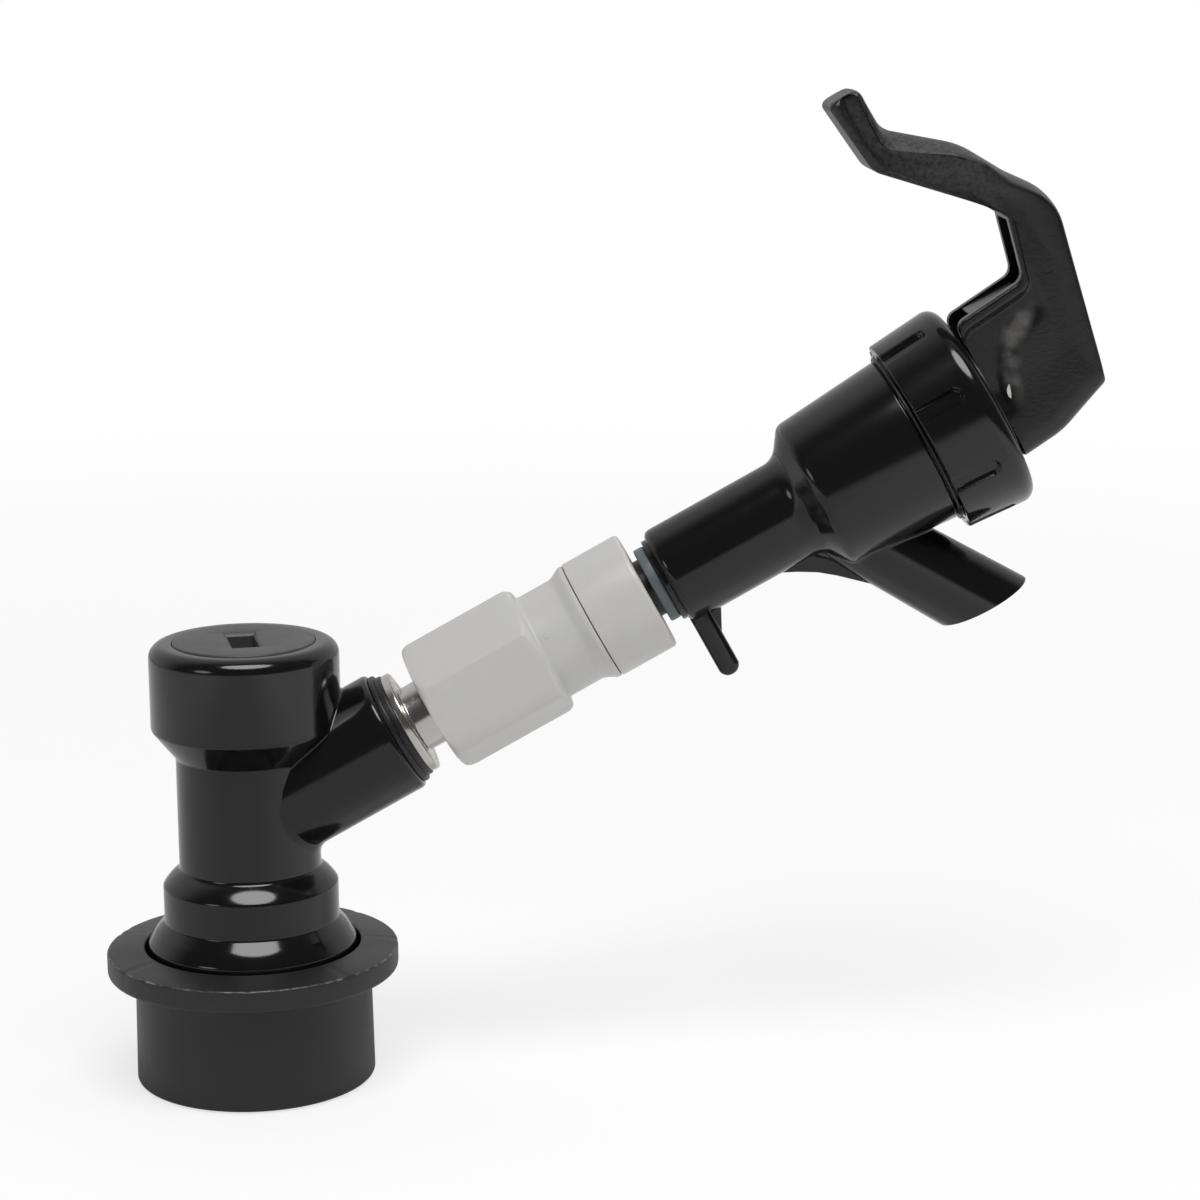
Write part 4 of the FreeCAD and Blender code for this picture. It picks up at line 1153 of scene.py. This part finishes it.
class TAP_OT_tap_body(bpy.types.Operator):
    """Neck, barrel, spout, web and tongue of the tap"""

    bl_idname = "tap.tap_body"
    bl_label = "Tap body"

    def execute(self, context):
        settings = context.scene.tap_shape
        corners = tap_outside() + [
            (GROOVE_RADIUS, BARREL_END),
            (GROOVE_RADIUS, SPIGOT_START),
            (SPIGOT_RADIUS, SPIGOT_START),
            (SPIGOT_RADIUS, SPIGOT_END),
            (TAP_CHAMBER_RADIUS, SPIGOT_END),
            (TAP_CHAMBER_RADIUS, TAP_CHAMBER_START),
            (VALVE_SEAT_FOOT_RADIUS, TAP_CHAMBER_START),
            (VALVE_SEAT_RADIUS, VALVE_SEAT_TOP),
            (VALVE_HOLE, VALVE_SEAT_TOP),
            (VALVE_HOLE, STEM_TUBE_END),
            (STEM_BORE, STEM_TUBE_END),
            (STEM_BORE, NECK_LIP_START),
            (NECK_LIP_RADIUS, NECK_LIP_START, 0.2),
            (NECK_LIP_RADIUS, TAP_START),
        ]
        shell = grid_shell(on_line(lathe(rounded(corners), settings.around)))
        shells = [shell, self.spout(settings)] + self.plates()
        add_piece("tap_moulding", shells, "tap_body", "gloss_black")
        return {"FINISHED"}

    def spout(self, settings):
        """Tapered spout. Its hollow is wide towards the neck and tight towards the bonnet, and its mouth is
        cut level with the line: each bearing's wall ends where across equals the drop."""
        turn = np.linspace(0, 2 * math.pi, settings.around, endpoint=False)
        along = np.array([math.sin(SPOUT_ANGLE), 0.0, math.cos(SPOUT_ANGLE)])
        side = np.array([math.cos(SPOUT_ANGLE), 0.0, -math.sin(SPOUT_ANGLE)])
        origin = np.array([0.0, 0.0, SPOUT_STATION])
        share = (0.5 + 0.5 * np.cos(turn)) ** 2
        fillet = (settings.valley_fillet + (settings.crotch_fillet - settings.valley_fillet) * share) / MM
        outside = rounded([(0.0, TAP_START)] + tap_outside() + [(SPIGOT_RADIUS, BARREL_END + 0.01)])[:-1]

        def radius(place):
            return SPOUT_TOP_RADIUS + (SPOUT_END_RADIUS - SPOUT_TOP_RADIUS) * place / SPOUT_LENGTH

        root, outward = branch_root(outside, origin, along, side, radius, fillet, 4.0, 26.0)

        def mouth(wide):
            """Places along the axis where the wall at that radius meets the cut."""
            return (SPOUT_DROP - wide * np.cos(turn) * math.cos(SPOUT_ANGLE)) / math.sin(SPOUT_ANGLE)

        end_wide = radius(mouth(SPOUT_END_RADIUS * 0.98))
        edge = SPOUT_EDGE
        ends = [
            (end_wide, mouth(end_wide) - edge),
            (end_wide - 0.05 * edge, mouth(end_wide) - 0.45 * edge),
            (end_wide - 0.3 * edge, mouth(end_wide - 0.3 * edge) - 0.12 * edge),
            (end_wide - edge, mouth(end_wide - edge)),
            (SPOUT_BORE + edge * 0.7, mouth(SPOUT_BORE + edge * 0.7)),
            (SPOUT_BORE, mouth(SPOUT_BORE) - edge * 0.7),
            (SPOUT_BORE, np.full_like(turn, SPOUT_BORE_START)),
        ]
        rows = [
            origin + place[:, None] * along + np.broadcast_to(wide, turn.shape)[:, None] * outward
            for wide, place in ends
        ]
        return grid_shell(on_line(np.concatenate([root, np.stack(rows)])))

    def plates(self):
        """Web under the crotch, the tongue below the neck and its gusset."""
        web = rounded([
            (PLATE_ROOT, WEB_START),
            (TAP_NECK_RADIUS - 0.3, WEB_START),
            (WEB_WAIST_ACROSS, WEB_WAIST, 20.0),
            (WEB_FOOT_ACROSS, WEB_END),
            (PLATE_ROOT, WEB_END),
        ])
        half = TONGUE_THICKNESS / 2
        tongue = rounded([
            (PLATE_ROOT, TONGUE_START),
            (TONGUE_DROP, TONGUE_START, half * 0.94),
            (TONGUE_DROP, TONGUE_START + TONGUE_THICKNESS, half * 0.94),
            (PLATE_ROOT, TONGUE_START + TONGUE_THICKNESS),
        ])
        foot = TONGUE_START + TONGUE_THICKNESS
        gusset = rounded([
            (PLATE_ROOT, foot - half),
            (GUSSET_ACROSS, foot - half),
            (GUSSET_ACROSS, foot),
            (TAP_NECK_RADIUS - 0.3, foot + GUSSET_HEIGHT),
            (PLATE_ROOT, foot + GUSSET_HEIGHT),
        ])
        return [
            capped_shell(on_line(slab(web, 1.0, 0.3))),
            capped_shell(on_line(slab(tongue, TONGUE_WIDTH / 2, 0.8))),
            capped_shell(on_line(slab(gusset, 0.8, 0.2))),
        ]


class TAP_OT_bonnet(bpy.types.Operator):
    """Fluted bonnet with its boss, the ring below it and the washer on it"""

    bl_idname = "tap.bonnet"
    bl_label = "Bonnet"

    def execute(self, context):
        settings = context.scene.tap_shape
        spigot_bore = SPIGOT_RADIUS + THREAD_GAP
        outside = [
            (BONNET_START_RADIUS, BONNET_START, 0.3),
            (BONNET_END_RADIUS, BONNET_TOP, 2.0),
        ]
        inside = [
            (BOSS_RADIUS + 0.1, BONNET_TOP, 0.1),
            (BOSS_RADIUS, BOSS_TOP, 0.15),
            (BONNET_BORE, BOSS_TOP),
            (BONNET_BORE, BONNET_CEILING),
            (SPRING_WELL_RADIUS, BONNET_CEILING),
            (SPRING_WELL_RADIUS, RIM_SEAT),
            (spigot_bore, RIM_SEAT),
            (spigot_bore, BONNET_START),
        ]
        profile = rounded(outside + inside)
        wall = np.linspace(0, 1, 48)[1:-1]
        start = np.argmax(profile[:, 1] > BONNET_START + 1)
        low, high = profile[start - 1], profile[start]
        profile = np.insert(profile, start, low + wall[:, None] * (high - low), axis=0)
        rows = lathe(profile, BONNET_COLUMNS)
        radius = np.hypot(rows[..., 0], rows[..., 1])
        turn = np.arctan2(rows[..., 1], rows[..., 0])
        spacing = 2 * math.pi / FLUTES
        lean = (turn % spacing) - spacing / 2
        half = settings.flute_width / 2 / MM
        aside = np.abs(lean) * radius
        above = np.maximum(rows[..., 2] - (FLUTE_END - half), 0)
        gap = half - np.hypot(aside, above)
        mask = step_up(gap, -FLUTE_SLOPE / 2, FLUTE_SLOPE / 2) * (radius > spigot_bore + 0.4)
        parting = np.exp(-((rows[..., 2] - PARTING_STATION) / 0.09) ** 2) * (radius > BONNET_START_RADIUS)
        rows = drawn_in(rows, settings.flute_depth / MM * mask + PARTING_DEPTH * parting)
        add_piece("fluted_bonnet", [grid_shell(on_line(rows))], "bonnet", "gloss_black", sharp=40)
        turned_piece("gap_ring", [
            (GROOVE_RADIUS, BARREL_END + SLIDE_GAP),
            (CLAMP_RING_RADIUS, BARREL_END + SLIDE_GAP, 0.1),
            (CLAMP_RING_RADIUS, BONNET_START - SLIDE_GAP, 0.1),
            (GROOVE_RADIUS, BONNET_START - SLIDE_GAP),
        ], "clamp_ring", "collet_black", line=True)
        turned_piece("washer_disc", [
            (BONNET_BORE, BOSS_TOP),
            (WASHER_RADIUS, BOSS_TOP, 0.1),
            (WASHER_RADIUS, WASHER_TOP, 0.1),
            (BONNET_BORE, WASHER_TOP),
        ], "thrust_washer", "collet_black", line=True)
        return {"FINISHED"}


class TAP_OT_lever(bpy.types.Operator):
    """Hooked thumb lever: lipped and hollowed cheeks, crowned paddle and open channel"""

    bl_idname = "tap.lever"
    bl_label = "Lever"

    def execute(self, context):
        settings = context.scene.tap_shape
        rows = self.skin(settings.paddle_crown)
        rows[..., 2] += LEVER_BASE
        body = add_piece("thumb_lever", [capped_shell(on_line(rows))], "lever", "lever_black")
        channel = rounded([
            (9.6 - LEVER_WALL, -1.0),
            (9.4 - LEVER_WALL, 6.7),
            (6.7 - LEVER_WALL, 14.2, 1.0),
            (-17.0, 18.0, 3.0),
            (-22.5, 12.5),
            (-22.5, -1.0),
        ])
        channel[:, 1] += LEVER_BASE
        cut_piece(body, *capped_shell(on_line(slab(channel, LEVER_HALF - LEVER_WALL, CHANNEL_EDGE))))
        finish_piece(body, "lever", "lever_black", sharp=26)
        rib = rounded([
            (-12.6, 2.6, 0.3), (-12.6, 10.6, 0.3), (-11.7, 10.6, 0.3), (-11.7, 2.6, 0.3)
        ])
        rib[:, 1] += LEVER_BASE
        bar = capped_shell(on_line(slab(rib, LEVER_HALF - LEVER_WALL + CHANNEL_EDGE, 0.1)))
        add_piece("lever_rib", [bar], "lever", "lever_black")
        return {"FINISHED"}

    def skin(self, crown, count=260):
        """Closed sections along the lever. Each runs from a point of the inner chain to the matching point
        of the outer chain and over the width: a rectangle with rounded corners, its outer side crowned up to
        the ridge chain, its cheeks sunk behind a lip and, at the front of the base, round a block."""
        inner = chain([
            (-10.9, 0.0), (-12.5, 0.0, 1.6), (-13.5, 11.3, 1.8), (-22.9, 13.5, 1.0),
            (-36.9, -0.1, 3.5), (-47.9, -1.45, 1.0), (-47.93, 0.1),
        ], count)
        outer = chain([
            (8.4, 0.0), (9.2, 0.0, 0.5), (8.6, 6.7, 12.0), (5.3, 15.0, 0.8), (-20.9, 20.3, 7.0),
            (-26.4, 15.75, 5.0), (-30.8, 13.9, 7.0), (-33.6, 11.0, 10.0), (-38.5, 3.15, 2.5),
            (-47.9, 3.45, 1.2), (-47.93, 1.8),
        ], count)
        ridge = chain([
            (8.4, 0.0), (9.2, 0.0, 0.5), (8.6, 6.7, 12.0), (5.3, 15.2, 0.8), (-21.3, 21.1, 9.0),
            (-27.6, 16.3, 8.0), (-33.9, 12.6, 12.0), (-41.0, 4.0, 3.5), (-47.9, 3.6, 1.2), (-47.93, 1.8),
        ], count)
        reach = np.maximum(np.linalg.norm(outer - inner, axis=1), 1e-3)
        half = LEVER_HALF - PADDLE_TAPER * step_up(-outer[:, 0], 24.0, 50.0)
        rise = np.clip(outer[:, 1] / BASE_BEVEL, 0, 1)
        half = half - np.where(outer[:, 0] > 8.3, BASE_BEVEL * (1 - np.sqrt(1 - (1 - rise) ** 2)), 0)
        inner_edge = INNER_EDGE + INNER_EDGE_GROWTH * step_up(-outer[:, 0], 34.0, 44.0)
        outer_edge = OUTER_EDGE + OUTER_EDGE_GROWTH * step_up(outer[:, 0], 1.0, 8.0)
        inner_edge = np.minimum(inner_edge, EDGE_SHARE * reach)
        outer_edge = np.minimum(outer_edge, EDGE_SHARE * reach)
        turn = np.linspace(0, math.pi / 2, 6)[:, None]
        side = np.linspace(0, 1, 7)[:-1, None]
        wall = reach - inner_edge - outer_edge
        near_lip = np.minimum(LIP_WIDTH, EDGE_SHARE * wall)
        lip_part = np.linspace(0, 1, 14)[1:, None] * near_lip
        far_part = near_lip + np.linspace(0, 1, 20)[1:-1, None] * (wall - near_lip)
        cheek = inner_edge + np.concatenate([lip_part, far_part])[::-1]
        out_of = np.concatenate([
            np.broadcast_to(reach, (6, count)),
            reach - outer_edge * (1 - np.cos(turn)),
            cheek,
            inner_edge * (1 - np.sin(turn)),
            np.zeros((6, count)),
        ])
        level = np.concatenate([
            side * (half - outer_edge),
            half - outer_edge * (1 - np.sin(turn)),
            np.broadcast_to(half, cheek.shape),
            half - inner_edge * (1 - np.cos(turn)),
            side[::-1] * (half - inner_edge),
        ])
        ray = (outer - inner) / reach[:, None]
        across = inner[:, 0] + out_of * ray[:, 0]
        height = inner[:, 1] + out_of * ray[:, 1]
        behind_lip = step_up(out_of, 1.25, 1.75) * (1 - step_up(out_of / reach, 0.55, 0.9))
        from_block = np.hypot(across - BLOCK_MIDDLE[0], height - BLOCK_MIDDLE[1])
        bowl = step_up(from_block, 8.3, 11.2) * (1 - step_up(across, -1.0, 3.0))
        bowl = bowl * (1 - step_up(height, 9.5, 13.0)) * step_up(out_of, 1.2, 2.4)
        sunk = LIP_HEIGHT * behind_lip + BOWL_DEPTH * bowl
        sunk = sunk * (out_of < reach - outer_edge) * (out_of > inner_edge)
        end = np.clip((-across - TIP_ROUND_START) / TIP_ROUND, 0, 1)
        level = level * (1 - (1 - np.sqrt(1 - end ** 2)) / half)
        raised = (1 - np.clip(level / half, 0, 1) ** 2) * (out_of / reach) ** 6
        across = across + crown * raised * (ridge - outer)[:, 0]
        height = height + crown * raised * (ridge - outer)[:, 1]
        near = np.stack([across, -(level - sunk), height], axis=-1)
        far = np.stack([across, level - sunk, height], axis=-1)[1:-1][::-1]
        return np.concatenate([near, far]).transpose(1, 0, 2)


# The stage

class TAP_OT_stage(bpy.types.Operator):
    """Pale floor, white surroundings, soft boxes and the camera"""

    bl_idname = "tap.stage"
    bl_label = "Stage"

    def execute(self, context):
        scene = context.scene
        settings = scene.tap_stage
        scene.view_settings.view_transform = "Standard"
        self.floor()
        self.room(settings.room)
        self.soft_box("overhead_box", OVERHEAD_PLACE, OVERHEAD_SIZE, settings.key_power)
        self.soft_box("left_card", CARD_PLACE, CARD_SIZE, settings.card_power)
        fill = self.soft_box("right_box", SIDE_PLACE, SIDE_SIZE, settings.side_power)
        fill.visible_glossy = False
        camera = bpy.data.objects.new("camera", bpy.data.cameras.new("camera"))
        camera.data.lens = settings.lens
        camera.data.sensor_width = 36.0
        camera.data.clip_start = 0.01
        right = (0.99658, -0.08223, -0.00828)
        up = (0.02551, 0.21074, 0.97721)
        back = (-0.07862, -0.97407, 0.21216)
        place = (0.01398, -0.45290, 0.16724)
        turned = Matrix((right, up, back)).transposed().to_4x4()
        camera.matrix_world = Matrix.Translation(place) @ turned
        context.collection.objects.link(camera)
        scene.camera = camera
        return {"FINISHED"}

    def floor(self):
        """Wide pale plane just under the collar. To the camera it is white but for the shadow, and to
        reflections its colour is painted darker in front of the object, a painted shade for less of the
        boxes' light falling there."""
        material = bpy.data.materials.new("floor_white")
        material.use_nodes = True
        tree = material.node_tree
        add = node_adder(tree)
        shader = tree.nodes["Principled BSDF"]
        shader.inputs["Roughness"].default_value = 0.9
        path = add("ShaderNodeLightPath").outputs
        place = add("ShaderNodeTexCoord").outputs["Object"]
        # Painted shade: seen by reflections, the floor's colour is darker in front of the object.
        front = add("ShaderNodeMapping", {
            "Vector": place, "Location": (0.15, 0.62, 0.0), "Scale": (5.2, 2.2, 1.0)
        })
        dim = span(add, length(add, front.outputs["Vector"]), 0.45, 1.2, (0.56, 0.9))
        painted_shade_tone = blend(add, path["Is Glossy Ray"], 0.95, dim, "FLOAT")
        tree.links.new(painted_shade_tone, shader.inputs["Base Color"])
        far = span(add, length(add, place), 0.12, 0.6, (0.7, 1.0))
        glow = add("ShaderNodeEmission", {"Strength": 1.0})
        mix = add("ShaderNodeMixShader", {
            "Fac": maths(add, "MULTIPLY", path["Is Camera Ray"], far),
            1: shader.outputs["BSDF"],
            2: glow.outputs["Emission"],
        })
        tree.links.new(mix.outputs["Shader"], tree.nodes["Material Output"].inputs["Surface"])
        mesh = bpy.data.meshes.new("floor")
        reach, level = FLOOR_REACH, float(cad_low[2]) - FLOOR_GAP
        mesh.from_pydata([
            (-reach, -reach, level), (reach, -reach, level), (reach, reach, level), (-reach, reach, level)
        ], [], [(0, 1, 2, 3)])
        mesh.materials.append(material)
        floor = bpy.data.objects.new("floor", mesh)
        bpy.context.collection.objects.link(floor)

    def room(self, strength):
        """World that is white to the camera. To other rays it is a dim room in front and a pale backdrop
        behind: its level climbs with the ray's y from the front's to the backdrop's."""
        world = bpy.data.worlds.new("room")
        bpy.context.scene.world = world
        world.use_nodes = True
        tree = world.node_tree
        add = node_adder(tree)
        back = tree.nodes["Background"].inputs
        back["Color"].default_value = (1.0, 1.0, 1.0, 1.0)
        place = add("ShaderNodeTexCoord").outputs["Generated"]
        depth = add("ShaderNodeSeparateXYZ", {0: place}).outputs["Y"]
        front = strength * 0.12
        seen = span(add, depth, -0.15, 0.45, (front, strength), interpolation_type="SMOOTHSTEP")
        camera_ray = add("ShaderNodeLightPath").outputs["Is Camera Ray"]
        tree.links.new(blend(add, camera_ray, seen, 1.0, "FLOAT"), back["Strength"])

    def soft_box(self, name, place, size, power):
        """Soft-edged area light aimed at the middle of the object."""
        data = bpy.data.lights.new(name, "AREA")
        data.shape = "ELLIPSE"
        data.size, data.size_y = size
        data.energy = power
        light = bpy.data.objects.new(name, data)
        middle = (cad_low + cad_high) / 2
        light.location = place
        light.rotation_mode = "QUATERNION"
        light.rotation_quaternion = (light.location - middle).to_track_quat("Z", "Y")
        bpy.context.collection.objects.link(light)
        return light


class TAP_PT_panel(bpy.types.Panel):
    """Sidebar list of the pieces and their settings"""

    bl_idname = "TAP_PT_panel"
    bl_label = "Picnic Tap"
    bl_space_type = "VIEW_3D"
    bl_region_type = "UI"
    bl_category = "Picnic Tap"

    def draw(self, context):
        layout = self.layout
        for settings in (context.scene.tap_shape, context.scene.tap_finish, context.scene.tap_stage):
            box = layout.box()
            for name in settings.__annotations__:
                box.prop(settings, name)
        for operator in OPERATORS:
            layout.operator(operator.bl_idname)


OPERATORS = (
    TAP_OT_materials, TAP_OT_inner_pieces, TAP_OT_disconnect, TAP_OT_plug, TAP_OT_collar, TAP_OT_outlet,
    TAP_OT_fitting, TAP_OT_collet, TAP_OT_tap_body, TAP_OT_bonnet, TAP_OT_lever, TAP_OT_stage,
)
SETTINGS = (TapShapeSettings, TapFinishSettings, TapStageSettings)


def by_name(groups):
    """Each listed name with its group."""
    return {name: group for group, names in groups.items() for name in names.split()}


SLOTS = by_name({
    "gloss_black": "disconnect_body tap_body bonnet",
    "lever_black": "lever",
    "satin_black": "release_collar top_plug",
    "collet_black": "collet outlet_sealing_ring clamp_ring thrust_washer",
    "fitting_grey": "fitting_body fitting_cap",
    "blue_grey": "collet_ring",
    "stainless": "outlet_insert poppet_pin lock_ball_1 lock_ball_2 lock_ball_3 collar_retaining_ring"
                 " grip_ring spring_seat_washer lever_pin",
    "spring_steel": "collar_spring poppet_spring valve_spring",
    "black_rubber": "plug_seal_ring poppet_seal post_seal tube_seal_inner tube_seal_outer seat_seal"
                    " diaphragm",
    "white_plastic": "flare_washer seal_spacer inlet_stem valve_stem",
})
BODIES = by_name({
    "disconnect": "disconnect_body top_plug outlet_sealing_ring outlet_insert fitting_body fitting_cap",
    "collar": "release_collar",
    "collet": "collet_ring",
    "tap": "tap_body bonnet clamp_ring thrust_washer",
    "lever": "lever",
})


def register():
    for kind in SETTINGS + OPERATORS + (TAP_PT_panel,):
        bpy.utils.register_class(kind)
    bpy.types.Scene.tap_shape = PointerProperty(type=TapShapeSettings)
    bpy.types.Scene.tap_finish = PointerProperty(type=TapFinishSettings)
    bpy.types.Scene.tap_stage = PointerProperty(type=TapStageSettings)


def unregister():
    del bpy.types.Scene.tap_shape
    del bpy.types.Scene.tap_finish
    del bpy.types.Scene.tap_stage
    for kind in reversed(SETTINGS + OPERATORS + (TAP_PT_panel,)):
        bpy.utils.unregister_class(kind)


def main():
    """Builds everything in order."""
    register()
    for operator in OPERATORS:
        group, name = operator.bl_idname.split(".")
        getattr(getattr(bpy.ops, group), name)()


if __name__ == "__main__":
    main()
